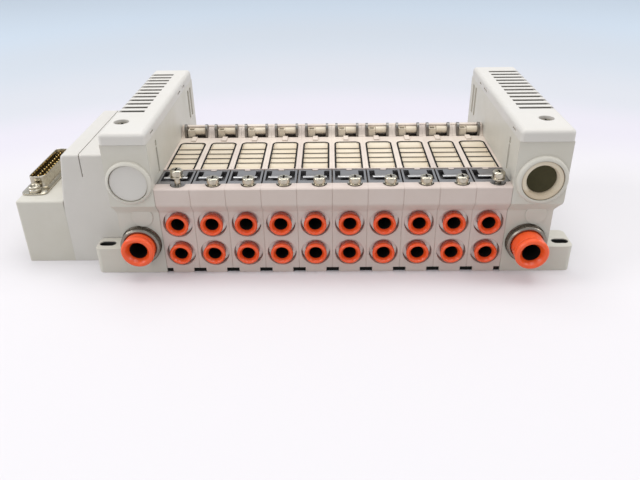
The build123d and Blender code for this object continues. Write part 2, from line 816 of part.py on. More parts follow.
def connector_housing():
    """Low housing that carries the multi-pole connector, open underneath."""
    body = box(wiring_outer_x, socket_outer_x, unit_front, unit_rear, 0, socket_box_height)
    top = edges_where(
        body,
        lambda c: abs(c.Z - socket_box_height) < 1e-6 and c.X < wiring_outer_x - beyond,
    )
    upright = edges_where(
        body,
        lambda c: abs(c.X - socket_outer_x) < 1e-6 and abs(c.Z - socket_box_height / 2) < 1e-6,
    )
    body = fillet(top + upright, socket_box_corner)
    under = socket_box_height - unit_wall
    body -= box(wiring_outer_x - unit_wall, socket_outer_x + unit_wall,
                unit_front + unit_wall, unit_rear - unit_wall, -beyond, under)
    cut = Pos(dsub_x, dsub_y, under - beyond)
    body -= cut * extrude(dsub_outline(-dsub_window_gap), unit_wall + 2 * beyond)
    for y in jack_places:
        body -= rod_along_z(dsub_x, y, jack_stem_radius + jack_hole_gap,
                            under - beyond, socket_box_height + beyond)
    return body


def dsub_outline(inset):
    """The connector's D shape, its long axis along Y and its wide row on the outside."""
    half_length = dsub_shell_length / 2 - inset
    half_width = dsub_shell_width / 2 - inset
    points = [
        (-half_width, -half_length),
        (half_width, -half_length + dsub_shell_lean),
        (half_width, half_length - dsub_shell_lean),
        (-half_width, half_length),
    ]
    face = make_face(Polyline(*points, close=True))
    return fillet(face.vertices(), dsub_shell_corner - inset)


def dsub_shell():
    """Steel shell: flange, raised D-shaped rim and the holes for the jack posts."""
    flange = Rectangle(dsub_flange_width, dsub_flange_length)
    flange = fillet(flange.vertices(), dsub_flange_corner)
    place = Pos(dsub_x, dsub_y, socket_box_height)
    shell = place * extrude(flange, dsub_flange_thickness)
    shell += place * extrude(dsub_outline(0), dsub_rim_height)
    shell -= place * Pos(0, 0, -beyond) * extrude(dsub_outline(dsub_shell_wall),
                                                  dsub_rim_height + 2 * beyond)
    for y in jack_places:
        shell -= rod_along_z(dsub_x, y, jack_stem_radius + jack_hole_gap,
                             socket_box_height - beyond, socket_box_height + 2 * beyond)
    return shell


def dsub_insert():
    """Black moulded insert inside the shell."""
    bottom = socket_box_height - unit_wall - dsub_insert_drop
    outline = dsub_outline(dsub_shell_wall + dsub_insert_gap)
    return Pos(dsub_x, dsub_y, bottom) * extrude(outline, dsub_floor - bottom)


def dsub_pins():
    """Contact pins in two rows."""
    pins = []
    for count, side in ((dsub_long_row_count, -1), (dsub_short_row_count, 1)):
        for i in range(count):
            y = dsub_y + (i - (count - 1) / 2) * dsub_pin_pitch
            x = dsub_x + side * dsub_row_pitch / 2
            pin = extrude(RegularPolygon(dsub_pin_radius, dsub_pin_sides), dsub_pin_height)
            pins.append(Pos(x, y, dsub_floor) * pin)
    return pins


def dsub_jack_posts():
    """Threaded posts at both ends of the connector."""
    base = socket_box_height + dsub_flange_thickness
    posts = []
    for y in jack_places:
        post = rod_along_z(dsub_x, y, jack_radius, base, base + jack_height)
        post += rod_along_z(dsub_x, y, jack_stem_radius, base - jack_stem_length, base)
        post -= rod_along_z(dsub_x, y, jack_bore_radius, base + jack_bore_floor,
                            base + jack_height + beyond)
        posts.append(post)
    return posts


# ================================================================ tie rods
def tie_rods():
    """Rods that pull the row together."""
    reach = rod_pocket_depth - nut_height
    left = -(stack_half + blocks["left"]["low"]) + reach
    right = stack_half + blocks["right"]["low"] - reach
    return [rod_along_x(y, z, rod_radius, left, right) for y, z in rod_places]


def tie_rod_nuts():
    """Hexagon nuts in the pockets of the end blocks."""
    nuts = []
    for spec in blocks.values():
        start = spec["low"] - rod_pocket_depth
        for y, z in rod_places:
            nut = extrude(RegularPolygon(nut_radius, 6), nut_height)
            nut -= Cylinder(rod_radius, 3 * nut_height)
            nuts.append(on_side(spec, Pos(start, y, z) * Rot(0, 90, 0) * nut))
    return nuts


# ================================================================ the whole row
os.makedirs("parts", exist_ok=True)

block = station_block()
for i, x in enumerate(station_centres):
    write(f"station_block_{i + 1:02d}", Pos(x, 0, 0) * block)

write("valve_gaskets", *[gasket_solid(x) for x in station_centres])
write("valve_clamp_plates", *[clamp_plate(x) for x in station_centres])
write("valve_clamp_screws",
      *[clamp_screw(x, screw_lift.get(i, 0)) for i, x in enumerate(station_centres)])
write("valve_hook_brackets", *[hook_bracket(x) for x in station_centres])
write("valve_sockets", *[valve_socket(x) for x in station_centres])
write("socket_contacts", *[pin for x in station_centres for pin in socket_contacts(x)])

ports = [(x, z) for z in port_heights.values() for x in station_centres]
write("port_cartridges", *[port_cartridge(x, z) for x, z in ports])
write("port_seals", *[port_seal(x, z) for x, z in ports])
for row, z in port_heights.items():
    for i, x in enumerate(station_centres):
        write(f"release_collar_{row}_{i + 1:02d}", release_collar(x, z))

write("mounting_feet", *[on_side(spec, piece) for spec in blocks.values() for piece in feet(spec)])
for name, spec in blocks.items():
    write(f"end_block_{name}", on_side(spec, end_block(spec)))
    write(f"silencer_cover_{name}", on_side(spec, silencer_cover(spec)))
    write(f"silencer_element_{name}", on_side(spec, silencer_element(spec)))
    supply_x = spec["side"] * (stack_half + spec["supply_x"])
    write(f"supply_collar_{name}", supply_collar(supply_x, spec["supply_out"]))
write("silencer_cover_screws", *[on_side(spec, cover_screw(spec)) for spec in blocks.values()])
write("supply_cartridges",
      *[supply_cartridge(s["side"] * (stack_half + s["supply_x"])) for s in blocks.values()])
write("exhaust_port_plug", on_side(blocks["left"], exhaust_plug(blocks["left"])))
write("exhaust_port_sleeve", on_side(blocks["right"], exhaust_sleeve(blocks["right"])))

write("wiring_cover", wiring_cover())
write("connector_housing", connector_housing())
write("dsub_shell", dsub_shell())
write("dsub_insert", dsub_insert())
write("dsub_pins", *dsub_pins())
write("dsub_jack_posts", *dsub_jack_posts())
write("tie_rods", *tie_rods())
write("tie_rod_nuts", *tie_rod_nuts())
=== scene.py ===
# %% [markdown]
# # Valve island: a row of ten plug-in pneumatic stations
#
# Machine builders bolt this block to a panel, push air tubes into its orange
# collars and clip ten valves on top. Here the valves are taken off, so that the
# seats, gaskets, clamps and rear hooks show. The exact shapes come from a CAD
# model, the frame, and this lesson gives them surfaces, light and a camera, and
# remakes the pieces that want more detail than a CAD solid has.
#
# The frame has to be loaded first.

# %% Load the frame
import json
import math

import bmesh
import bpy
from mathutils import Matrix, Vector


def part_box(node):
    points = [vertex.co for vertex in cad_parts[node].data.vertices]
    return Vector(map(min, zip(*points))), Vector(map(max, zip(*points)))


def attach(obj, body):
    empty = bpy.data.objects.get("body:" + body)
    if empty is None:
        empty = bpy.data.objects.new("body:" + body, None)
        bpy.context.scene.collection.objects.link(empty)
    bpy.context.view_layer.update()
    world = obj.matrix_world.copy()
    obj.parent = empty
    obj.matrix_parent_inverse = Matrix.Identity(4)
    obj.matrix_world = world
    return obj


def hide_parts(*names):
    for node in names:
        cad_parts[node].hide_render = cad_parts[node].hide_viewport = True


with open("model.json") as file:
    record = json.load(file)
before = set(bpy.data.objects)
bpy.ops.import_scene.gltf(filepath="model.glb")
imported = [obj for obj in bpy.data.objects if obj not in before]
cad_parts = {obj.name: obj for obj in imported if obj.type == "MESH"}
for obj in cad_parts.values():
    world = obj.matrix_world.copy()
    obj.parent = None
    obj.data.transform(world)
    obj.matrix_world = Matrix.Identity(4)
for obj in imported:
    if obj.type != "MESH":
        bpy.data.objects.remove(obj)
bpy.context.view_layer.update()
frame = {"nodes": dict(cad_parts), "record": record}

MM = 0.001
nodes = frame["nodes"]

# %% [markdown]
# ## Camera
#
# A product picture of a long, low object is taken from a little above, so that
# the port face and the seats both show. A camera looks along its own -Z axis, so
# its matrix has the right, up and backward directions as its columns. They are
# worked out from three plain angles, which is easier to read and to adjust than
# a ready-made rotation.

# %% Set up the camera
EYE = Vector((-0.83, -311.25, 165.2)) * MM
TURN, TILT, ROLL = (math.radians(a) for a in (-1.098, 29.103, -0.874))
LENS, SENSOR, NEAREST = 36.364, 36, 0.01

ahead = Vector((math.sin(TURN) * math.cos(TILT), math.cos(TURN) * math.cos(TILT), -math.sin(TILT)))
level = Vector((math.cos(TURN), -math.sin(TURN), 0))
upright = level.cross(ahead)
right = level * math.cos(ROLL) + upright * math.sin(ROLL)
up = upright * math.cos(ROLL) - level * math.sin(ROLL)

camera_data = bpy.data.cameras.new("studio camera")
camera_data.lens = LENS
camera_data.sensor_width = SENSOR
camera_data.clip_start = NEAREST
camera = bpy.data.objects.new("studio camera", camera_data)
camera.matrix_world = Matrix.Translation(EYE) @ Matrix((right, up, -ahead)).transposed().to_4x4()
bpy.context.scene.collection.objects.link(camera)
bpy.context.scene.camera = camera
bpy.context.scene.view_settings.view_transform = "Standard"
print("camera", LENS, "mm lens,", round(EYE.length / MM), "mm from the origin")

# %% [markdown]
# ## Helpers for shader nodes
#
# Every finish below is a small net of shader nodes. Making a node and joining two
# sockets are the steps that repeat most, so each has a helper. A keyword with an
# underscore fills the input of that name with a space, such as From Min. One more
# helper tells rays that show a surface from rays that only carry light off it:
# the camera's own rays, mirror rays and rays through glass count as showing it.

# %% Make and join nodes


def simple_nodes(material):
    """The node tree of a material with its Principled shader."""
    material.use_nodes = True
    tree = material.node_tree
    return tree, tree.nodes["Principled BSDF"]


def node(tree, kind, place=(0, 0), **settings):
    """A new node with its settings and input values filled in."""
    made = tree.nodes.new(kind)
    made.location = place
    for name, value in settings.items():
        label = name.replace("_", " ")
        if label in made.inputs:
            made.inputs[label].default_value = value
        else:
            setattr(made, name, value)
    return made


def wire(tree, *joins):
    """Link sockets; each join is (from node, output, to node, input)."""
    for source, output, target, entry in joins:
        tree.links.new(source.outputs[output], target.inputs[entry])


def in_view(tree):
    """A mask node: 1 for rays from the camera, off gloss or through glass, else 0."""
    path = node(tree, "ShaderNodeLightPath", (-700, 350))
    direct = node(tree, "ShaderNodeMath", (-500, 350), operation="MAXIMUM")
    shown = node(tree, "ShaderNodeMath", (-300, 350), operation="MAXIMUM")
    wire(tree, (path, "Is Camera Ray", direct, 0), (path, "Is Glossy Ray", direct, 1),
         (direct, 0, shown, 0), (path, "Is Transmission Ray", shown, 1))
    return shown


print("node helpers ready")

# %% [markdown]
# ## Floor
#
# The island stands on a wide sheet of pale paper. Its tint is a painted falloff of
# light: it goes from a warm pale grey in front to a cooler and darker one far
# behind, along curves that bow round the part, as soft light falls off over a
# sweep. That tint is what the camera and the reflections in metal show. What the
# paper throws back as light is one plain grey instead, because so pale a floor
# would wash out the walls above it.

# %% Lay the paper
FLOOR_REACH = 3.0
NEAR, FAR, BOW = -0.2, 0.8, 1.2
# Painted falloff of light on the paper, from near to far.
PAPER_FALLOFF_TONES = [(0.10, (0.70, 0.68, 0.70)), (0.207, (0.65, 0.625, 0.685)),
               (0.297, (0.588, 0.60, 0.645)), (0.473, (0.548, 0.59, 0.65)),
               (0.72, (0.55, 0.625, 0.715))]
THROWN_BACK = (0.56, 0.55, 0.55, 1)

floor_mesh = bpy.data.meshes.new("floor")
corners = [(-FLOOR_REACH, -FLOOR_REACH, 0), (FLOOR_REACH, -FLOOR_REACH, 0),
           (FLOOR_REACH, FLOOR_REACH, 0), (-FLOOR_REACH, FLOOR_REACH, 0)]
floor_mesh.from_pydata(corners, [], [(0, 1, 2, 3)])
floor = bpy.data.objects.new("floor", floor_mesh)
bpy.context.scene.collection.objects.link(floor)

paper = bpy.data.materials.new("pale paper")
tree, shader = simple_nodes(paper)
place = node(tree, "ShaderNodeTexCoord", (-900, 0))
apart = node(tree, "ShaderNodeSeparateXYZ", (-700, 0))
sideways = node(tree, "ShaderNodeMath", (-600, -150), operation="MULTIPLY")
bowed = node(tree, "ShaderNodeMath", (-450, -150), operation="MULTIPLY_ADD")
bowed.inputs[1].default_value = BOW
depth = node(tree, "ShaderNodeMapRange", (-400, 0), From_Min=NEAR, From_Max=FAR)
tint = node(tree, "ShaderNodeValToRGB", (-250, 0))
tint.color_ramp.interpolation = "EASE"
for _ in PAPER_FALLOFF_TONES[2:]:
    tint.color_ramp.elements.new(0.5)
for stop, (reach, tone) in zip(tint.color_ramp.elements, PAPER_FALLOFF_TONES):
    stop.position = (reach - NEAR) / (FAR - NEAR)
    stop.color = (*tone, 1)
seen_or_thrown = node(tree, "ShaderNodeMix", (0, 150), data_type="RGBA", A=THROWN_BACK)
wire(tree, (place, "Object", apart, 0), (apart, "X", sideways, 0), (apart, "X", sideways, 1),
     (sideways, 0, bowed, 0), (apart, "Y", bowed, 2), (bowed, 0, depth, "Value"),
     (depth, "Result", tint, 0), (in_view(tree), 0, seen_or_thrown, "Factor"),
     (tint, "Color", seen_or_thrown, "B"), (seen_or_thrown, "Result", shader, "Base Color"))
shader.inputs["Roughness"].default_value = 0.75
shader.inputs["Specular IOR Level"].default_value = 0.2
floor_mesh.materials.append(paper)
print("floor", 2 * FLOOR_REACH, "m wide,", len(PAPER_FALLOFF_TONES), "tones")

# %% [markdown]
# ## Lamps and sky
#
# Most light comes from a wide lamp overhead, as from a ceiling of soft boxes, so
# tops are bright and upright faces a step darker. A lamp on each side and a weak
# one in front keep the end walls and the port face from going dull. The world is
# a pale sky. It lights the part at about half its strength, and is shown brighter
# where the camera, a glossy surface or glass looks straight at it.

# %% Hang the lamps and paint the sky


def soft_lamp(name, place, aim, width, height, power, colour=(1, 1, 1)):
    """A rectangular area lamp that points at a target."""
    data = bpy.data.lights.new(name, "AREA")
    data.shape = "RECTANGLE"
    data.size, data.size_y = width, height
    data.energy = power
    data.color = colour
    lamp = bpy.data.objects.new(name, data)
    lamp.location = place
    lamp.rotation_euler = (Vector(aim) - Vector(place)).to_track_quat("-Z", "Y").to_euler()
    bpy.context.scene.collection.objects.link(lamp)
    return lamp


soft_lamp("ceiling lamp", (0.05, 0.10, 1.25), (0, 0, 0), 1.3, 0.9, 10.5, (1.0, 0.99, 0.97))
soft_lamp("left lamp", (-1.15, -0.15, 0.8), (0, 0, 0.04), 0.6, 0.6, 5.5)
soft_lamp("right lamp", (1.15, -0.10, 0.8), (0, 0, 0.04), 0.6, 0.6, 5.0)
soft_lamp("front lamp", (-0.75, -1.1, 0.7), (0, 0, 0.03), 0.8, 0.5, 3.0, (1.0, 0.985, 0.97))

world = bpy.data.worlds.new("pale sky")
bpy.context.scene.world = world
world.use_nodes = True
tree = world.node_tree
tree.nodes.clear()
ambient = node(tree, "ShaderNodeBackground", (-200, 0), Color=(0.93, 0.96, 1.0, 1), Strength=0.55)
backdrop = node(tree, "ShaderNodeBackground", (-200, -150),
                Color=(0.86, 0.91, 0.97, 1), Strength=0.92)
blend = node(tree, "ShaderNodeMixShader", (0, 0))
sky_out = node(tree, "ShaderNodeOutputWorld", (200, 0))
wire(tree, (in_view(tree), 0, blend, 0), (ambient, 0, blend, 1), (backdrop, 0, blend, 2),
     (blend, 0, sky_out, 0))

# %% [markdown]
# ## Shared effects
#
# The same few effects return on many surfaces, so each is built once as a node
# group and placed in every material that needs it, with its own values.
#
# - *moulded skin*: faint cloudy patches of colour and a fine spark-eroded grain,
#   as injection-moulded plastic has.
# - *grime and painted shade*: a mask that is strong in corners and gaps, partly dust and
#   oil that stay there and partly painted shade where light hardly reaches. It
#   compares how open each point is to the room.
# - *worn edges*: a mask for outer corners that hands and tools have polished.
# - *drawn lines*: long thin streaks, as rolling and pressing leave on sheet steel.

# %% Start the groups
COLOUR, NUMBER = "NodeSocketColor", "NodeSocketFloat"


def new_group(name, inputs, outputs):
    """An empty shader group with named sockets: (name, kind, value) and (name, kind)."""
    group = bpy.data.node_groups.new(name, "ShaderNodeTree")
    for label, kind, value in inputs:
        socket = group.interface.new_socket(label, in_out="INPUT", socket_type=kind)
        socket.default_value = value
    for label, kind in outputs:
        group.interface.new_socket(label, in_out="OUTPUT", socket_type=kind)
    entry = node(group, "NodeGroupInput", (-1000, 0))
    return group, entry, node(group, "NodeGroupOutput", (600, 0))


skin_group, given, gives = new_group(
    "moulded skin",
    [("Colour", COLOUR, (0.7, 0.7, 0.7, 1)), ("Cloud colour", COLOUR, (0.6, 0.6, 0.6, 1)),
     ("Cloud scale", NUMBER, 40.0), ("Grain scale", NUMBER, 2500.0),
     ("Smooth", NUMBER, 0.35), ("Rough", NUMBER, 0.5)],
    [("Colour", COLOUR), ("Roughness", NUMBER), ("Height", NUMBER)])
where = node(skin_group, "ShaderNodeTexCoord", (-1000, -300))
clouds = node(skin_group, "ShaderNodeTexNoise", (-700, 200), Detail=4.0, Roughness=0.6)
grain = node(skin_group, "ShaderNodeTexNoise", (-700, -200), Detail=2.0)
share = node(skin_group, "ShaderNodeMapRange", (-400, 200), From_Min=0.35, From_Max=0.7)
cloud_mix = node(skin_group, "ShaderNodeMix", (0, 200), data_type="RGBA")
gloss = node(skin_group, "ShaderNodeMix", (0, -50), data_type="FLOAT")
wire(skin_group, (where, "Object", clouds, "Vector"), (where, "Object", grain, "Vector"),
     (given, "Cloud scale", clouds, "Scale"), (given, "Grain scale", grain, "Scale"),
     (clouds, "Fac", share, "Value"), (share, "Result", cloud_mix, "Factor"),
     (given, "Colour", cloud_mix, "A"), (given, "Cloud colour", cloud_mix, "B"),
     (share, "Result", gloss, "Factor"), (given, "Smooth", gloss, "A"),
     (given, "Rough", gloss, "B"), (cloud_mix, "Result", gives, "Colour"),
     (gloss, "Result", gives, "Roughness"), (grain, "Fac", gives, "Height"))
print("group", skin_group.name)

# %% Group for grime and painted shade in the corners
grime_and_shade_group, given, gives = new_group(
    "grime_and_shade",
    [("Colour", COLOUR, (0.7, 0.7, 0.7, 1)), ("Grime colour", COLOUR, (0.1, 0.08, 0.06, 1)),
     ("Amount", NUMBER, 0.6)],
    [("Colour", COLOUR), ("Mask", NUMBER)])
where = node(grime_and_shade_group, "ShaderNodeTexCoord", (-1000, -300))
openness = node(grime_and_shade_group, "ShaderNodeAmbientOcclusion", (-700, 100), samples=6,
                Distance=2.5 * MM)
spots = node(grime_and_shade_group, "ShaderNodeTexNoise", (-700, -200), Scale=220.0, Detail=3.0)
# Grime and painted shade: the more closed in a point is, the more of the grime colour it gets.
closed_in = node(grime_and_shade_group, "ShaderNodeMapRange", (-450, 100), From_Min=0.55, From_Max=0.08)
uneven = node(grime_and_shade_group, "ShaderNodeMapRange", (-450, -200), To_Min=0.7, To_Max=1.2)
patchy = node(grime_and_shade_group, "ShaderNodeMath", (-200, 0), operation="MULTIPLY")
scaled = node(grime_and_shade_group, "ShaderNodeMath", (0, 0), operation="MULTIPLY", use_clamp=True)
soiled_and_shaded = node(grime_and_shade_group, "ShaderNodeMix", (250, 150), data_type="RGBA")
wire(grime_and_shade_group, (where, "Object", spots, "Vector"), (openness, "AO", closed_in, "Value"),
     (spots, "Fac", uneven, "Value"), (closed_in, "Result", patchy, 0),
     (uneven, "Result", patchy, 1), (patchy, 0, scaled, 0), (given, "Amount", scaled, 1),
     (scaled, 0, soiled_and_shaded, "Factor"), (given, "Colour", soiled_and_shaded, "A"),
     (given, "Grime colour", soiled_and_shaded, "B"), (soiled_and_shaded, "Result", gives, "Colour"),
     (scaled, 0, gives, "Mask"))
print("group", grime_and_shade_group.name)

# %% Group for worn edges
wear_group, given, gives = new_group(
    "worn edges",
    [("Colour", COLOUR, (0.7, 0.7, 0.7, 1)), ("Bare colour", COLOUR, (0.9, 0.9, 0.9, 1)),
     ("Amount", NUMBER, 0.5)],
    [("Colour", COLOUR), ("Mask", NUMBER)])
where = node(wear_group, "ShaderNodeTexCoord", (-900, -250))
shape = node(wear_group, "ShaderNodeNewGeometry", (-900, 100))
sharp = node(wear_group, "ShaderNodeMapRange", (-650, 100), From_Min=0.51, From_Max=0.60)
rubbing = node(wear_group, "ShaderNodeTexNoise", (-650, -150), Scale=160.0, Detail=3.0)
broken = node(wear_group, "ShaderNodeMath", (-400, 0), operation="MULTIPLY")
worn = node(wear_group, "ShaderNodeMath", (-200, 0), operation="MULTIPLY", use_clamp=True)
bared = node(wear_group, "ShaderNodeMix", (100, 150), data_type="RGBA")
wire(wear_group, (where, "Object", rubbing, "Vector"), (shape, "Pointiness", sharp, "Value"),
     (sharp, "Result", broken, 0), (rubbing, "Fac", broken, 1), (broken, 0, worn, 0),
     (given, "Amount", worn, 1), (worn, 0, bared, "Factor"), (given, "Colour", bared, "A"),
     (given, "Bare colour", bared, "B"), (bared, "Result", gives, "Colour"),
     (worn, 0, gives, "Mask"))
print("group", wear_group.name)

# %% Group for drawn lines
lines_group, given, gives = new_group(
    "drawn lines",
    [("Colour", COLOUR, (0.5, 0.5, 0.5, 1)), ("Line colour", COLOUR, (0.4, 0.4, 0.4, 1)),
     ("Across", NUMBER, 3000.0), ("Along", NUMBER, 120.0),
     ("Smooth", NUMBER, 0.25), ("Rough", NUMBER, 0.45)],
    [("Colour", COLOUR), ("Roughness", NUMBER), ("Height", NUMBER)])
where = node(lines_group, "ShaderNodeTexCoord", (-1000, -300))
stretch = node(lines_group, "ShaderNodeCombineXYZ", (-800, -100))
drawn_out = node(lines_group, "ShaderNodeVectorMath", (-600, -200), operation="MULTIPLY")
streaks = node(lines_group, "ShaderNodeTexNoise", (-400, 0), Scale=1.0, Detail=3.0)
line_mix = node(lines_group, "ShaderNodeMix", (0, 200), data_type="RGBA")
gloss = node(lines_group, "ShaderNodeMix", (0, -50), data_type="FLOAT")
wire(lines_group, (given, "Along", stretch, "X"), (given, "Across", stretch, "Y"),
     (given, "Across", stretch, "Z"), (where, "Object", drawn_out, 0),
     (stretch, 0, drawn_out, 1), (drawn_out, 0, streaks, "Vector"),
     (streaks, "Fac", line_mix, "Factor"), (given, "Colour", line_mix, "A"),
     (given, "Line colour", line_mix, "B"), (streaks, "Fac", gloss, "Factor"),
     (given, "Smooth", gloss, "A"), (given, "Rough", gloss, "B"),
     (line_mix, "Result", gives, "Colour"), (gloss, "Result", gives, "Roughness"),
     (streaks, "Fac", gives, "Height"))
print("groups", [g.name for g in bpy.data.node_groups])

# %% [markdown]
# ## Plastics and rubber
#
# One function puts the groups together for everything moulded: the moulded skin,
# then worn edges, then grime and painted shade, and the grain feeds a Bump node.
# Rubber and felt are the same net with a duller, rougher surface. Values that are
# the same all over, such as Metallic or the specular level, are set on the shader's
# own sockets.

# %% Mix the plastics


def colour(r, g, b):
    """A linear colour with full alpha."""
    return (r, g, b, 1.0)


def use_group(tree, group, place, **values):
    """Place a node group and fill in its inputs; spaces are written as underscores."""
    return node(tree, "ShaderNodeGroup", place, node_tree=group, **values)


def finish_material(tree, shader, base, wear, grime_and_shade, bump_strength, bump_depth, corner):
    """Chain a base group with wear and with grime and painted shade into the shader."""
    rounded = node(tree, "ShaderNodeBevel", (-50, -450), samples=4, Radius=corner * MM)
    bump = node(tree, "ShaderNodeBump", (200, -300), Strength=bump_strength,
                Distance=bump_depth * MM)
    wire(tree, (rounded, "Normal", bump, "Normal"), (base, "Colour", wear, "Colour"),
         (wear, "Colour", grime_and_shade, "Colour"), (grime_and_shade, "Colour", shader, "Base Color"),
         (base, "Roughness", shader, "Roughness"), (base, "Height", bump, "Height"),
         (bump, "Normal", shader, "Normal"))


def plastic(name, tone, cloud, dirt_and_shade, wear=0.25, grime_and_shade=0.6, rough=(0.38, 0.52),
            grain=1800.0, strength=0.12, cloud_scale=38.0, specular=0.4, corner=0.3):
    """A moulded plastic, or rubber with a duller surface."""
    material = bpy.data.materials.new(name)
    tree, shader = simple_nodes(material)
    base = use_group(tree, skin_group, (-700, 0), Colour=tone, Cloud_colour=cloud,
                     Cloud_scale=cloud_scale, Grain_scale=grain, Smooth=rough[0], Rough=rough[1])
    pale = colour(*(min(1.0, c * 1.12 + 0.02) for c in tone[:3]))
    edges = use_group(tree, wear_group, (-450, 0), Bare_colour=pale, Amount=wear)
    corners = use_group(tree, grime_and_shade_group, (-200, 0), Grime_colour=dirt_and_shade, Amount=grime_and_shade)
    finish_material(tree, shader, base, edges, corners, strength, 0.05, corner)
    shader.inputs["Specular IOR Level"].default_value = specular
    return material


# The third colour of each finish is its grime and painted shade in corners and gaps.
station_plastic = plastic("warm grey moulded plastic", colour(0.61, 0.52, 0.475),
                          colour(0.585, 0.49, 0.44), colour(0.30, 0.19, 0.11), grime_and_shade=0.45)
grey_plastic = plastic("grey moulded plastic", colour(0.60, 0.575, 0.515),
                       colour(0.57, 0.54, 0.47), colour(0.27, 0.21, 0.12), grime_and_shade=0.55)
white_plastic = plastic("white moulded plastic", colour(0.63, 0.605, 0.57),
                        colour(0.61, 0.585, 0.545), colour(0.34, 0.29, 0.21), grime_and_shade=0.5)
# Its tan base is painted shade low in the seat windows; a paler tone goes over it higher up.
cream_plastic = plastic("cream moulded plastic", colour(0.54, 0.43, 0.30),
                        colour(0.66, 0.57, 0.43), colour(0.22, 0.14, 0.07), grime_and_shade=0.6)
black_plastic = plastic("black filled plastic", colour(0.022, 0.022, 0.022),
                        colour(0.03, 0.03, 0.028), colour(0.01, 0.01, 0.01), grime_and_shade=0.2)
rubber = plastic("black nitrile rubber", colour(0.008, 0.008, 0.007), colour(0.014, 0.013, 0.012),
                 colour(0.004, 0.004, 0.004), wear=0.05, rough=(0.6, 0.75), grime_and_shade=0.2,
                 specular=0.12)
silencer = plastic("porous silencer felt", colour(0.016, 0.014, 0.011),
                   colour(0.030, 0.025, 0.019), colour(0.008, 0.006, 0.004), rough=(0.85, 0.95),
                   grain=900.0, strength=0.5, specular=0.06)
orange_plastic = plastic("orange glossy plastic", colour(0.86, 0.100, 0.018),
                         colour(0.80, 0.082, 0.014), colour(0.26, 0.010, 0.003), wear=0.15,
                         grime_and_shade=0.7, rough=(0.22, 0.32), strength=0.05, specular=0.5)
orange_shader = orange_plastic.node_tree.nodes["Principled BSDF"]
orange_shader.inputs["Subsurface Weight"].default_value = 0.12
orange_shader.inputs["Subsurface Radius"].default_value = (1.0, 0.25, 0.1)
orange_shader.inputs["Subsurface Scale"].default_value = 1.2 * MM
print("plastics", [m.name for m in bpy.data.materials])

# %% [markdown]
# ## Metals
#
# A metal gets drawn lines in place of the moulded skin, and its Metallic is 1.
# Screws are smoother than pressed sheet, so that a small turned head shows a
# bright glint next to a dark side.

# %% Mix the metals


def metal(name, tone, line, dirt_and_shade, wear=0.3, grime_and_shade=0.5, rough=(0.22, 0.40),
          across=2600.0, along=160.0, strength=0.10, corner=0.15):
    """A rolled, pressed or turned metal."""
    material = bpy.data.materials.new(name)
    tree, shader = simple_nodes(material)
    base = use_group(tree, lines_group, (-700, 0), Colour=tone, Line_colour=line,
                     Across=across, Along=along, Smooth=rough[0], Rough=rough[1])
    bright = colour(*(min(1.0, c * 1.25 + 0.05) for c in tone[:3]))
    edges = use_group(tree, wear_group, (-450, 0), Bare_colour=bright, Amount=wear)
    corners = use_group(tree, grime_and_shade_group, (-200, 0), Grime_colour=dirt_and_shade, Amount=grime_and_shade)
    finish_material(tree, shader, base, edges, corners, strength, 0.03, corner)
    shader.inputs["Metallic"].default_value = 1.0
    return material


# The third colour of each metal is its grime and painted shade in corners and gaps.
clamp_steel = metal("pressed clamp steel", colour(0.31, 0.30, 0.30),
                    colour(0.21, 0.20, 0.20), colour(0.02, 0.018, 0.016), grime_and_shade=0.8,
                    rough=(0.30, 0.48))
hook_steel = metal("dark hook steel", colour(0.24, 0.225, 0.205), colour(0.14, 0.13, 0.12),
                   colour(0.02, 0.016, 0.012), grime_and_shade=0.8, rough=(0.28, 0.45))
plated_steel = metal("bright plated steel", colour(0.76, 0.73, 0.67), colour(0.58, 0.55, 0.49),
                     colour(0.03, 0.024, 0.016), grime_and_shade=0.95, rough=(0.10, 0.26))
screw_steel = metal("passivated screw steel", colour(0.66, 0.61, 0.51),
                    colour(0.30, 0.265, 0.20), colour(0.02, 0.014, 0.008), grime_and_shade=1.0,
                    rough=(0.10, 0.24), across=900.0, along=700.0)
sleeve_steel = metal("dark knurled steel", colour(0.30, 0.265, 0.225), colour(0.17, 0.145, 0.12),
                     colour(0.02, 0.014, 0.01), grime_and_shade=0.8, rough=(0.18, 0.36))
brass = metal("nickelled brass", colour(0.86, 0.83, 0.78), colour(0.74, 0.70, 0.64),
              colour(0.20, 0.14, 0.10), grime_and_shade=0.5, rough=(0.42, 0.55))
gold = metal("gold-plated contact", colour(0.85, 0.62, 0.26), colour(0.72, 0.50, 0.18),
             colour(0.08, 0.045, 0.012), rough=(0.16, 0.28))
print("metals", [m.name for m in bpy.data.materials if m.node_tree.nodes["Principled BSDF"]
                 .inputs["Metallic"].default_value == 1.0])

# %% [markdown]
# ## Surfaces that change along a piece
#
# Some pieces are one moulding or pressing but don't look the same all over. The
# stations turn creamier behind the clamps, partly their own tone and partly painted
# light that lifts the seat windows and rail out of their shade. The notches under
# their front edge get painted shade. The clamp is dark where it is flat and has a
# painted highlight on its raised tongue. Cream seats get paler from their floor up,
# as painted shade low in each window and painted light at its rim. Each change
# follows where a point lies on the piece, so a mask from the object's own
# coordinates lays one tone over another, and no edge has to be cut into the mesh.

# %% Lay tones over a finish


def place_of(tree):
    """A node that gives X, Y and Z of the object's own coordinates."""
    where = node(tree, "ShaderNodeTexCoord", (-1900, 0))
    apart = node(tree, "ShaderNodeSeparateXYZ", (-1700, 0))
    wire(tree, (where, "Object", apart, 0))
    return apart


def height_ramp(tree, low, high):
    """A mask that goes from 0 at one height to 1 at another, in mm above the base."""
    ramp = node(tree, "ShaderNodeMapRange", (-1300, 0), From_Min=low * MM, From_Max=high * MM)
    wire(tree, (place_of(tree), "Z", ramp, "Value"))
    return ramp


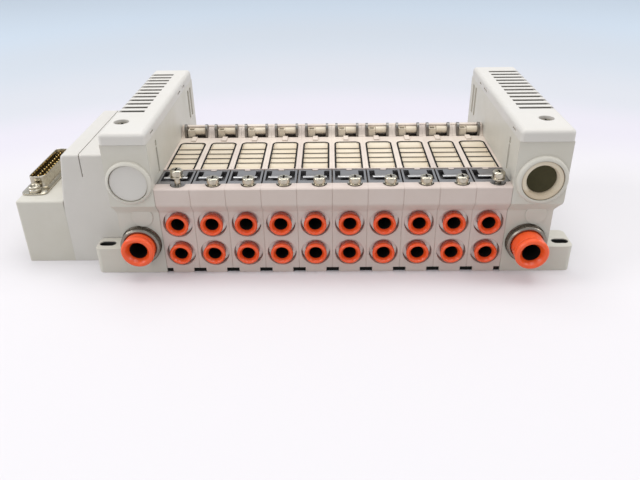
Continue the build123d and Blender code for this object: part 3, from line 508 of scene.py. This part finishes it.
def one_side(tree, axis, test, limit):
    """A mask of 1 on one side of a plane across an axis, at a limit in mm."""
    side = node(tree, "ShaderNodeMath", (-1300, -400), operation=test)
    side.inputs[1].default_value = limit * MM
    wire(tree, (place_of(tree), axis, side, 0))
    return side


def overlay(tree, mask, tone):
    """Mix a tone over what feeds the colour of the first group, where the mask is 1."""
    base = next(n for n in tree.nodes if n.type == "GROUP")
    under = base.inputs["Colour"]
    mixed = node(tree, "ShaderNodeMix", (-1000, 0), data_type="RGBA", B=tone)
    if under.is_linked:
        tree.links.new(under.links[0].from_socket, mixed.inputs["A"])
    else:
        mixed.inputs["A"].default_value = under.default_value
    wire(tree, (mask, 0, mixed, "Factor"), (mixed, "Result", base, "Colour"))


TONGUE_HIGHLIGHT_FOOT, TONGUE_HIGHLIGHT_TOP = 45.95, 46.5
CLAMP_REAR = -27
NOTCH_SHADE_TOP, NOTCH_SHADE_FRONT = 2.38, -45.4
SEAT_SHADE_FLOOR, SEAT_LIT_RIM = 43.9, 45.3

tree = clamp_steel.node_tree
# Painted highlight on the raised tongue of each clamp.
overlay(tree, height_ramp(tree, TONGUE_HIGHLIGHT_FOOT, TONGUE_HIGHLIGHT_TOP), colour(0.86, 0.85, 0.83))

tree = station_plastic.node_tree
# Paler cream behind the clamps: partly the moulding's tone, partly painted light on the shaded
# seats and rail.
overlay(tree, one_side(tree, "Y", "GREATER_THAN", CLAMP_REAR), colour(0.76, 0.665, 0.57))
# Painted shade in the notches under the front edge.
notch_shade_mask = node(tree, "ShaderNodeMath", (-1100, -600), operation="MULTIPLY")
wire(tree, (one_side(tree, "Z", "LESS_THAN", NOTCH_SHADE_TOP), 0, notch_shade_mask, 0),
     (one_side(tree, "Y", "GREATER_THAN", NOTCH_SHADE_FRONT), 0, notch_shade_mask, 1))
overlay(tree, notch_shade_mask, colour(0.07, 0.04, 0.03))

tree = cream_plastic.node_tree
# Painted shade low in the seat windows, painted light towards their rim.
overlay(tree, height_ramp(tree, SEAT_SHADE_FLOOR, SEAT_LIT_RIM), colour(0.74, 0.665, 0.54))
print("toned", clamp_steel.name, "/", station_plastic.name, "/", cream_plastic.name)

# %% [markdown]
# ## CAD pieces that stay
#
# The stations, end blocks, feet, covers, clamps and hooks have the right shape
# already, so they keep their meshes and only get a finish. Their corners are
# perfectly sharp, which no moulding is. Cutting a real round on them would mean
# changing exact geometry, so the finish rounds them instead: its Bevel node
# bends the shading near each edge, as a small radius would.

# %% Give every CAD node its finish
FINISHES = {
    "grey_plastic": grey_plastic, "white_plastic": white_plastic, "cream_plastic": cream_plastic,
    "silencer": silencer, "rubber": rubber, "clamp_steel": clamp_steel,
    "plated_steel": plated_steel, "brass": brass, "gold": gold,
    "black_plastic": black_plastic, "orange_plastic": orange_plastic,
}
SPECIAL = {"valve_hook_brackets": hook_steel, "valve_clamp_screws": screw_steel,
           "silencer_cover_screws": screw_steel}
slot_of = {part["node"]: part["material_slot"] for part in frame["record"]["subparts"]}
for name, piece in nodes.items():
    material = SPECIAL.get(name, FINISHES[slot_of[name]])
    if name.startswith("station_block"):
        material = station_plastic
    piece.data.materials.clear()
    piece.data.materials.append(material)
print("finished nodes", len(slot_of))

# %% [markdown]
# ## Helpers for turned pieces
#
# Collars, sleeves, pins and posts are all round: each is one outline turned about
# an axis, in the real factory on a lathe or in a round mould. So one helper turns
# an outline of (radius, distance along the axis) points, and another joins its
# rings with faces. A third first rounds the corners, since even a sharp turned
# edge has a small radius that catches light. A knurled band, the rough grip on a
# steel sleeve, is the same turned ring with every second point pressed in.

# %% Round, turn and finish


def soften(outline, radius, steps=3):
    """Round the corners of a closed outline with small curves."""
    smooth = []
    count = len(outline)
    for i, corner in enumerate(outline):
        corner = Vector(corner)
        before = Vector(outline[i - 1]) - corner
        after = Vector(outline[(i + 1) % count]) - corner
        reach = min(radius, before.length * 0.45, after.length * 0.45)
        start, end = corner + before.normalized() * reach, corner + after.normalized() * reach
        for k in range(steps + 1):
            t = k / steps
            point = start * (1 - t) ** 2 + corner * 2 * t * (1 - t) + end * t ** 2
            smooth.append((point.x, point.y))
    return smooth


def cover(mesh, rings, closed=True):
    """Faces between neighbouring rings; when closed, the last ring joins the first."""
    width = len(rings[0])
    for ring, other in zip(rings, rings[1:] + rings[:1] if closed else rings[1:]):
        for k in range(width):
            nxt = (k + 1) % width
            mesh.faces.new((ring[k], ring[nxt], other[nxt], other[k]))


def turned_rings(mesh, outline, centre, axis, sides, knurled=None, bite=0.0):
    """Add a turned closed outline to a bmesh; sizes in mm, axis "Y" (into the part) or "Z"."""
    rings = []
    for radius, along in outline:
        ring = []
        grip = knurled is not None and knurled(radius, along)
        for k in range(sides):
            turn = 2 * math.pi * k / sides
            r = radius - (bite if grip and k % 2 else 0.0)
            u, v = r * math.cos(turn), r * math.sin(turn)
            spot = Vector((u, along, v)) if axis == "Y" else Vector((u, -v, along))
            ring.append(mesh.verts.new((Vector(centre) + spot) * MM))
        rings.append(ring)
    cover(mesh, rings)


def make_piece(name, mesh, material, body, replaced=(), crease=35):
    """Turn a bmesh into an object that rides on a body and stands for CAD nodes."""
    bmesh.ops.recalc_face_normals(mesh, faces=mesh.faces)
    data = bpy.data.meshes.new(name)
    mesh.to_mesh(data)
    mesh.free()
    data.shade_smooth()
    data.set_sharp_from_angle(angle=math.radians(crease))
    data.materials.append(material)
    piece = bpy.data.objects.new(name, data)
    bpy.context.scene.collection.objects.link(piece)
    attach(piece, body)
    for replaced_node in replaced:
        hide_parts(replaced_node)
    return piece


def middle(name):
    """Middle of a node's box at rest, in mm."""
    low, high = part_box(name)
    return (Vector(low) + Vector(high)) / 2 / MM


def front(name):
    """Front (lowest Y) of a node's box at rest, in mm."""
    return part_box(name)[0][1] / MM


def mouth(name):
    """Centre of a round piece's front face, in mm."""
    spot = middle(name)
    spot.y = front(name)
    return spot


print("helpers ready, station front at", round(front("station_block_01"), 2), "mm")

# %% [markdown]
# ## Release collars
#
# Pushing a collar in frees its tube. It is an orange moulding: a flange to press
# on, a sleeve that slides in the port, and a mouth flared like a funnel so that
# the tube finds its way. In a real port the hole looks dark, partly from a gripping
# ring and a seal deep inside and partly from shade. A thin black liner stands for
# both here, as painted shade along the bore. It is a piece of its own on the same
# body, so both move when the collar is pressed.

# %% Turn the twenty small collars
body_of = {node_name: body for body, members in frame["record"]["behaviour"]["bodies"].items()
           for node_name in members}


def turn_collar(name, collar_name, liner_name, outline, liner, sides, liner_sides):
    """Turn a collar and its liner, both on the body of the CAD collar they stand for."""
    mesh = bmesh.new()
    turned_rings(mesh, outline, mouth(name), "Y", sides)
    make_piece(collar_name, mesh, orange_plastic, body_of[name], (name,),
               crease=50)
    mesh = bmesh.new()
    turned_rings(mesh, liner, mouth(name), "Y", liner_sides)
    make_piece(liner_name, mesh, rubber, body_of[name])


TUBE_BORE, LINER, PLAY = 3.06, 0.35, 0.02
FLANGE, SLEEVE, COLLAR_LENGTH = 5.25, 4.79, 12.0
BORE_WALL = TUBE_BORE + LINER
small_outline = soften([
    (4.1, 0.0), (4.7, 0.0), (FLANGE, 0.55), (FLANGE, 1.7), (SLEEVE, 2.0), (SLEEVE, 10.8),
    (4.29, COLLAR_LENGTH), (BORE_WALL, COLLAR_LENGTH), (BORE_WALL, 2.5), (TUBE_BORE, 2.2),
    (TUBE_BORE, 1.9),
], 0.28)
# The black liner is painted shade along the bore, standing also for the grip ring and seal.
small_grip_and_shade_liner = soften([(TUBE_BORE + PLAY, 2.25), (BORE_WALL - PLAY, 2.55),
                      (BORE_WALL - PLAY, 11.9), (TUBE_BORE + PLAY, 11.9)], 0.1, 1)
collar_names = sorted(n for n in nodes if n.startswith("release_collar"))
for name in collar_names:
    port = name.removeprefix("release_collar")
    turn_collar(name, "turned_collar" + port, "grip_and_shade_liner" + port,
                small_outline, small_grip_and_shade_liner, 56, 40)
print("turned", len(collar_names), "small collars")

# %% [markdown]
# ## Supply collars
#
# The main air comes in at both ends of the row, through wider tubes. Their collars
# work in the same way, and have a groove behind the flange.

# %% Turn the two supply collars
supply_outline = soften([
    (5.7, 0.0), (6.9, 0.0), (7.7, 0.75), (7.7, 2.4), (6.8, 2.45), (6.8, 3.25), (7.4, 3.3),
    (7.4, 14.0), (6.04, 14.0), (6.04, 22.0), (4.5, 22.0), (4.5, 2.9), (4.06, 2.5),
], 0.3)
# The black liner is painted shade along the bore, standing also for the grip ring and seal.
supply_grip_and_shade_liner = soften([(4.08, 2.9), (4.48, 3.2), (4.48, 21.9), (4.08, 21.9)], 0.1, 1)
supply_names = ("supply_collar_left", "supply_collar_right")
for name in supply_names:
    turn_collar(name, "turned_" + name, name.replace("collar", "liner"),
                supply_outline, supply_grip_and_shade_liner, 72, 56)
print("turned the supply collars, standing out to", round(front(supply_names[1]), 1), "mm")

# %% [markdown]
# ## Knurled supply sleeves
#
# Each supply collar slides in a steel sleeve. The ring that stands out of the
# block is knurled, so that it can be gripped when it is pressed in. The knurl is
# real geometry here, because its ridges break up the highlight along the ring.

# %% Turn the knurled sleeves
ring_face = front("supply_cartridges")
RING, BITE = 9.25, 0.32
sleeve_outline = soften([
    (7.62, 0.0), (8.45, 0.0), (9.22, 0.7), (RING, 0.95), (RING, 3.4), (8.95, 3.7),
    (RING, 4.05), (RING, 28.0), (3.06, 28.0), (3.06, 26.0), (4.06, 26.0), (4.06, 21.4),
    (6.1, 21.4), (6.1, 10.4), (7.6, 10.4),
], 0.15, 2)
mesh = bmesh.new()
for name in supply_names:
    centre = middle(name)
    centre.y = ring_face
    turned_rings(mesh, sleeve_outline, centre, "Y", 144,
                 lambda r, along: r > 9.2 and 0.8 < along < 3.5, BITE)
make_piece("knurled_supply_sleeves", mesh, sleeve_steel, "root",
           ("supply_cartridges",), crease=28)
print("knurled sleeves start at", round(ring_face, 2), "mm")

# %% [markdown]
# ## D-shaped connector
#
# The plug for the valve coils is a standard 25-way shape: a pressed steel shell
# with a rolled rim, gold-plated pins in two rows and two threaded posts that take
# the cable's screws. The shell is built as rings of points round the D, each ring
# a little further up and in or out, like a pressing drawn from flat sheet. Small
# dimples in the rim press on the other half for a good earth contact.

# %% Draw the connector shell
shell_low, shell_high = (Vector(v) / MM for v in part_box("dsub_shell"))
shell_middle = (shell_low + shell_high) / 2
plate_under, rim_top = shell_low.z, shell_high.z
plate_top = plate_under + 0.9
HALF_LONG, HALF_WIDE, SLANT = 38.96 / 2, 8.36 / 2, 0.9
RING_POINTS = 176
DIMPLES, DIMPLE_DEPTH, DIMPLE_RADIUS = (-13.5, -4.5, 4.5, 13.5), 0.28, 0.9
dimple_level = rim_top - 1.9


def round_outline(points, radius, count):
    """Even points round a polygon with rounded corners."""
    path = []
    soft = soften(points, radius, 10)
    lengths = [0.0]
    for a, b in zip(soft, soft[1:] + soft[:1]):
        lengths.append(lengths[-1] + math.dist(a, b))
    place = 0
    for k in range(count):
        goal = lengths[-1] * k / count
        while lengths[place + 1] < goal:
            place += 1
        share = (goal - lengths[place]) / max(1e-9, lengths[place + 1] - lengths[place])
        a, b = soft[place], soft[(place + 1) % len(soft)]
        path.append((a[0] + (b[0] - a[0]) * share, a[1] + (b[1] - a[1]) * share))
    return path


def d_shape(inset):
    """The D outline, its wide row on the outer side."""
    w, h = HALF_WIDE - inset, HALF_LONG - inset
    return round_outline([(-w, -h), (w, -h + SLANT), (w, h - SLANT), (-w, h)],
                         3.0 - inset, RING_POINTS)


def plate_shape(inset):
    """The outline of the flat flange round the D."""
    w = (shell_high.x - shell_low.x) / 2 - inset
    h = (shell_high.y - shell_low.y) / 2 - inset
    return round_outline([(-w, -h), (w, -h), (w, h), (-w, h)], 3.2, RING_POINTS)


levels = [(plate_shape(0.15), plate_under), (plate_shape(0), plate_under + 0.15),
          (plate_shape(0), plate_under + 0.75), (plate_shape(0.15), plate_top),
          (d_shape(-0.75), plate_top), (d_shape(-0.2), plate_under + 1.1),
          (d_shape(0), plate_under + 1.7), (d_shape(0), rim_top - 2.9),
          (d_shape(0), dimple_level), (d_shape(0), rim_top - 0.9),
          (d_shape(0), rim_top - 0.35), (d_shape(0.09), rim_top - 0.08),
          (d_shape(0.25), rim_top), (d_shape(0.41), rim_top - 0.08),
          (d_shape(0.5), rim_top - 0.35), (d_shape(0.5), plate_under)]
mesh = bmesh.new()
rings = []
for outline, height in levels:
    ring = []
    for x, y in outline:
        dent = 0.0
        if height == dimple_level and abs(x) > HALF_WIDE - 0.6:
            nearest = min(abs(y - spot) for spot in DIMPLES)
            dent = DIMPLE_DEPTH * max(0.0, 1 - (nearest / DIMPLE_RADIUS) ** 2)
        ring.append(mesh.verts.new(Vector((shell_middle.x + x - math.copysign(dent, x),
                                           shell_middle.y + y, height)) * MM))
    rings.append(ring)
cover(mesh, rings)
make_piece("pressed_connector_shell", mesh, screw_steel, "root",
           ("dsub_shell",), crease=40)
print("connector shell", round(rim_top - plate_under, 1), "mm high")

# %% [markdown]
# ## Pins and posts
#
# The pins have domed tips, so that they slip into their sockets, and stand 13 in
# one row and 12 in the other. The posts are turned, with a groove round them and a
# threaded hole for the screws of the cable.

# %% Turn the pins and the threaded posts
pins_low, pins_high = (Vector(v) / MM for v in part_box("dsub_pins"))
PIN_PITCH, PIN_RADIUS, ROW_INSET = 2.77, 0.42, 0.5
tip = pins_high.z
pin_outline = soften([(0.02, pins_low.z), (PIN_RADIUS, pins_low.z), (PIN_RADIUS, tip - 0.6),
                      (0.3, tip - 0.06), (0.02, tip)], 0.12, 2)
mesh = bmesh.new()
for x, count in ((pins_low.x + ROW_INSET, 13), (pins_high.x - ROW_INSET, 12)):
    for k in range(count):
        y = (pins_low.y + pins_high.y) / 2 + (k - (count - 1) / 2) * PIN_PITCH
        turned_rings(mesh, pin_outline, (x, y, 0), "Z", 16)
make_piece("domed_pins", mesh, gold, "root", ("dsub_pins",), crease=60)

posts_low, posts_high = (Vector(v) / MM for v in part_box("dsub_jack_posts"))
POST, GROOVE = 2.9, 2.6
post_top = posts_high.z
THREAD_HIGH, THREAD_BITE, THREAD_STEP = 1.5, 0.22, 0.25
post_outline = soften([
    (THREAD_HIGH, post_top - 0.15), (1.75, post_top), (2.55, post_top), (POST, post_top - 0.35),
    (POST, post_top - 1.0), (GROOVE, post_top - 1.25), (GROOVE, post_top - 1.55),
    (POST, post_top - 1.8), (POST, post_top - 3.0), (2.75, post_top - 3.2),
    (1.3, post_top - 3.2), (1.3, posts_low.z), (0.05, posts_low.z), (0.05, post_top - 2.6),
], 0.12, 2)
thread = [(THREAD_HIGH - (THREAD_BITE if k % 2 else 0.0), post_top - 2.4 + THREAD_STEP * k)
          for k in range(9)]
mesh = bmesh.new()
for y in (posts_low.y + POST, posts_high.y - POST):
    turned_rings(mesh, post_outline + thread, (shell_middle.x, y, 0), "Z", 48)
make_piece("grooved_jack_posts", mesh, screw_steel, "root",
           ("dsub_jack_posts",), crease=40)
print("pins", 25, "posts", 2)

# %% [markdown]
# ## Helpers for swept strips
#
# Beads, bars, pads and bushes are the same outline all along a path, so one helper
# sweeps an outline along flat paths. Another stretches an outline of (y, z) points
# straight along X, which suits ramps and slopes.

# %% Sweep and stretch
stations = sorted(n for n in nodes if n.startswith("station_block"))
station_middles = [middle(n).x for n in stations]
part_front = front("mounting_feet")


def sweep(mesh, path, profile, closed=False):
    """Sweep a closed profile of (sideways, height) points along a flat path in mm."""
    rings = []
    count = len(path)
    for i, spot in enumerate(path):
        before = path[i - 1] if closed or i else path[0]
        after = path[(i + 1) % count] if closed or i < count - 1 else path[-1]
        along = (Vector(after) - Vector(before)).normalized()
        side = Vector((along.y, -along.x))
        rings.append([mesh.verts.new(Vector((spot[0] + side.x * s, spot[1] + side.y * s, h)) * MM)
                      for s, h in profile])
    cover(mesh, rings, closed)
    if not closed:
        mesh.faces.new(rings[0])
        mesh.faces.new(rings[-1])


def stretch_along_x(mesh, outline, x0, x1):
    """Stretch an outline of (y, z) points from x0 to x1, in mm, and close both ends."""
    ends = [[mesh.verts.new(Vector((x, y, z)) * MM) for y, z in outline] for x in (x0, x1)]
    cover(mesh, ends, closed=False)
    for end in ends:
        mesh.faces.new(end)


def strip(half, low, high, crown=0.0):
    """Profile of a strip with rounded top corners and a slight crown."""
    r = min(0.16, half * 0.6)
    return [(-half, low), (half, low), (half, high - r), (half - r * 0.3, high - r * 0.3),
            (half - r, high), (0, high + crown), (-half + r, high),
            (-half + r * 0.3, high - r * 0.3), (-half, high - r)]


print("stations", len(stations), "front of the part", round(part_front, 2), "mm")

# %% [markdown]
# ## Seat inserts and gasket beads
#
# A valve seals on a thin bead of rubber that runs round its seat and across it
# between the air passages. Here a cream insert fills the groove of the station and
# dips between the bars, so that the windows look pale and shallow. The bead and
# the frame under it are small outlines swept along the same path, and each window
# gets a ramp that drops towards the front.

# %% Lay the inserts, ramps and beads
gasket_low, gasket_high = (Vector(v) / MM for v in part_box("valve_gaskets"))
GROOVE_HALF, CORNER, INSERT_PLAY = 0.45, 2.2, 0.02
span = station_middles[-1] - station_middles[0]
side_x = (gasket_high.x - gasket_low.x - span) / 2 - GROOVE_HALF
inner = side_x - GROOVE_HALF
seat_front_y, seat_rear_y = gasket_low.y + GROOVE_HALF, gasket_high.y - GROOVE_HALF
BAR_FIRST, BAR_PITCH, BARS = 25.3 + part_front, 6.1, 4
bar_y = [BAR_FIRST + BAR_PITCH * i for i in range(BARS)]
edges = [seat_front_y] + bar_y + [seat_rear_y]
BEAD_FOOT, BEAD_TOP, BAR_BEAD_TOP = 45.9, 46.26, 46.22
round_bead = strip(0.38, BEAD_FOOT, BEAD_TOP, 0.1)
bar_bead = strip(0.31, BEAD_FOOT, BAR_BEAD_TOP, 0.08)
frame_strip = strip(GROOVE_HALF, 45.16, 45.98)
RAMP_FLOOR, RAMP_LOW, RAMP_HIGH = 42.42, 43.7, 45.7
arc = [(math.cos(a), math.sin(a)) for a in (math.pi / 2 * k / 8 for k in range(9))]


def ramp_outline(low_y, high_y):
    """Side view of the ramp in one window: a gentle rise towards the rear bar."""
    y0, y1 = low_y + GROOVE_HALF + INSERT_PLAY, high_y - GROOVE_HALF - INSERT_PLAY
    return [(y0, RAMP_LOW), (y0 + 0.3 * (y1 - y0), 44.0), (y0 + 0.65 * (y1 - y0), 44.75),
            (y1 - 0.3, 45.45), (y1, RAMP_HIGH), (y1, RAMP_FLOOR), (y0, RAMP_FLOOR)]


bead_mesh, frame_mesh = bmesh.new(), bmesh.new()
for x in station_middles:
    arch = [(x + side_x, seat_front_y - GROOVE_HALF)]
    arch += [(x + side_x - CORNER + CORNER * c, seat_rear_y - CORNER + CORNER * s) for c, s in arc]
    arch += [(x - side_x + CORNER - CORNER * c, seat_rear_y - CORNER + CORNER * s)
             for c, s in reversed(arc)]
    arch += [(x - side_x, seat_front_y - GROOVE_HALF)]
    sweep(bead_mesh, arch, round_bead)
    sweep(frame_mesh, arch, frame_strip)
    for y in bar_y:
        sweep(bead_mesh, [(x - inner - 0.2, y), (x + inner + 0.2, y)], bar_bead)
        sweep(frame_mesh, [(x - inner, y), (x + inner, y)], frame_strip)
    sweep(frame_mesh, [(x - inner, seat_front_y), (x + inner, seat_front_y)], frame_strip)
    for low_y, high_y in zip(edges, edges[1:]):
        stretch_along_x(frame_mesh, ramp_outline(low_y, high_y),
                        x - inner + INSERT_PLAY, x + inner - INSERT_PLAY)
make_piece("gasket_beads", bead_mesh, rubber, "root", ("valve_gaskets",), crease=50)
make_piece("seat_inserts", frame_mesh, cream_plastic, "root", crease=40)
print("seat inserts under", BARS, "bars a station")

# %% [markdown]
# ## Hinge bars behind the seats
#
# Between the two steel ears of each hook lies a rounded cream bar, beside the
# electrical socket, where the hook of a valve could rest. Between neighbouring
# stations the moulding slopes up from the ledge to the rear rail. The bar is a
# swept round, the slope a stretched outline that bulges a little.

# %% Shape the hinge bars and the slopes
bracket_low, bracket_high = (Vector(v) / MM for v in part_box("valve_hook_brackets"))
bracket_front, bracket_rear = bracket_low.y, bracket_high.y
HINGE_RADIUS, HINGE_HEIGHT, HINGE_SETBACK = 1.75, 48.7, 1.85
HINGE_FROM, HINGE_TO = -0.7, 4.85
SLOPE_INNER, SLOPE_OUTER, SLOPE_FOOT = 6.15, 7.97, 44.85
round_bar = [(HINGE_RADIUS * math.sin(a), HINGE_HEIGHT + HINGE_RADIUS * math.cos(a))
             for a in (2 * math.pi * k / 28 for k in range(28))]
slope_outline = [(bracket_front - 0.35, SLOPE_FOOT), (bracket_rear + 0.55, SLOPE_FOOT),
                 (bracket_rear + 0.55, 50.3), (bracket_rear - 0.2, 50.2),
                 (bracket_rear - 1.6, 49.5), (bracket_rear - 3.0, 48.2),
                 (bracket_front + 0.4, 46.7), (bracket_front - 0.35, 46.1)]
bar_mesh, slope_mesh = bmesh.new(), bmesh.new()
for x in station_middles:
    middle_y = bracket_rear - HINGE_SETBACK
    sweep(bar_mesh, [(x + HINGE_FROM, middle_y), (x + HINGE_TO, middle_y)], round_bar)
    stretch_along_x(slope_mesh, slope_outline, x - SLOPE_OUTER, x - SLOPE_INNER)
    stretch_along_x(slope_mesh, slope_outline, x + SLOPE_INNER, x + SLOPE_OUTER)
make_piece("hinge_bars", bar_mesh, cream_plastic, "root", crease=40)
make_piece("rail_slopes", slope_mesh, station_plastic, "root", crease=50)
print("hinge bars", len(station_middles))

# %% [markdown]
# ## Felt pads in the louvres
#
# Spent air leaves through the slots of the covers, over a silencer inside. A dark
# felt pad that bulges a little into each slot stands for that silencer and is also
# painted shade: it keeps each slot black from any side, where an empty slot would
# show the pale walls of the cover.

# %% Press the pads into the louvres
LOUVRES, LOUVRE_FIRST, LOUVRE_PITCH, LOUVRE_HALF = 12, 25.9, 5.85, 1.35
COVER_RIM, PAD_PLAY, PAD_DEPTH = 2.3, 0.04, 1.95
half = LOUVRE_HALF - PAD_PLAY
# Painted shade: a dark felt pad in each louvre slot.
felt = bmesh.new()
for name, inset, sign in (("silencer_cover_left", 7.2, -1), ("silencer_cover_right", 6.4, 1)):
    cover_low, cover_high = (Vector(v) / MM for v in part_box(name))
    inner_x, outer_x = (cover_low.x, cover_high.x)[::sign]
    x0, x1 = sorted((inner_x + sign * (inset + 0.05), outer_x - sign * COVER_RIM))
    top = cover_high.z
    bulge = [(-half, top - PAD_DEPTH), (half, top - PAD_DEPTH), (half, top - 0.36),
             (half * 0.7, top - 0.24), (0, top - 0.20), (-half * 0.7, top - 0.24),
             (-half, top - 0.36)]
    for k in range(LOUVRES):
        y = part_front + LOUVRE_FIRST + LOUVRE_PITCH * k
        sweep(felt, [(x0, y), (x1, y)], bulge)
make_piece("louvre_felt_shade_pads", felt, silencer, "root", crease=60)
print("felt shade pads", 2 * LOUVRES)

# %% [markdown]
# ## Slot bushes in the feet
#
# Bolts go through the slotted feet. A thin black bush lines each slot here as
# painted shade, for the dark deep inside the slot. Its path is the slot's own
# shape, with a thin wall swept round it.

# %% Line the slots
# Painted shade: a black lining in each foot slot.
bush = bmesh.new()
feet_low, feet_high = (Vector(v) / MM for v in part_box("mounting_feet"))
SLOT_SIDE, SLOT_SETBACK, SLOT_HALF, BUSH_RADIUS = 108.5, 5.7, 1.75, 2.08
BUSH_HALF, BUSH_FOOT, BUSH_TOP = 0.15, 0.1, 12.6
wall = [(-BUSH_HALF, BUSH_FOOT), (BUSH_HALF, BUSH_FOOT), (BUSH_HALF, BUSH_TOP),
        (-BUSH_HALF, BUSH_TOP)]
for x in (-SLOT_SIDE, SLOT_SIDE):
    for y in (feet_low.y + SLOT_SETBACK, feet_high.y - SLOT_SETBACK):
        path = []
        for end, start in ((SLOT_HALF, -math.pi / 2), (-SLOT_HALF, math.pi / 2)):
            path += [(x + end + BUSH_RADIUS * math.cos(start + math.pi * k / 12),
                      y + BUSH_RADIUS * math.sin(start + math.pi * k / 12)) for k in range(13)]
        sweep(bush, path, wall, closed=True)
make_piece("slot_shade_bushes", bush, black_plastic, "root", crease=40)
print("slot shade bushes", 4)

# %% [markdown]
# ## Black shade tabs under the front edge
#
# Under the front edge, where two stations meet, there is a small notch that is
# dark with shade. A black tab fills it here as painted shade, shaped like the
# lower end of a gasket. It is one arch, swept straight back under the part.

# %% Slide in the black shade tabs
# Painted shade: a black tab in each notch under the front edge.
tabs = bmesh.new()
joints_x = [(a + b) / 2 for a, b in zip(station_middles, station_middles[1:])]
ARCH = [(-2.8, 0.06), (2.8, 0.06), (2.8, 1.6), (2.5, 2.1), (1.9, 2.33), (-1.9, 2.33),
        (-2.5, 2.1), (-2.8, 1.6)]
END_TAB, END_SHARE = 6.6, 0.47
TAB_FRONT, TAB_REAR = part_front + 0.9, part_front + 8.6
for x in joints_x:
    sweep(tabs, [(x, TAB_FRONT), (x, TAB_REAR)], ARCH)
for x in (station_middles[0] - END_TAB, station_middles[-1] + END_TAB):
    sweep(tabs, [(x, TAB_FRONT), (x, TAB_REAR)], [(w * END_SHARE, h) for w, h in ARCH])
make_piece("notch_shade_tabs", tabs, rubber, "root", crease=40)
print("notch shade tabs", len(joints_x) + 2)

# %% [markdown]
# ## Felt behind the open exhaust
#
# Looking into the open exhaust sleeve, one sees a dark olive dish, as oily felt
# looks. It is turned like the collars: a shallow bowl with a rounded rim, held
# just behind the mouth of the sleeve.

# %% Turn the felt dish
olive_felt = plastic("oily olive felt", colour(0.055, 0.050, 0.026), colour(0.085, 0.075, 0.042),
                     colour(0.015, 0.012, 0.006), rough=(0.8, 0.95), grain=900.0,
                     strength=0.6, specular=0.08)
DISH_RIM = 6.7 - 0.08
dish = bmesh.new()
turned_rings(dish, soften([(0.05, 4.6), (3.0, 4.4), (5.4, 3.4), (DISH_RIM, 2.6),
                           (DISH_RIM, 7.0), (0.05, 7.4)], 0.3),
             mouth("exhaust_port_sleeve"), "Y", 56)
make_piece("exhaust_felt_dish", dish, olive_felt, "root", crease=50)
print("felt dish", DISH_RIM, "mm in radius")
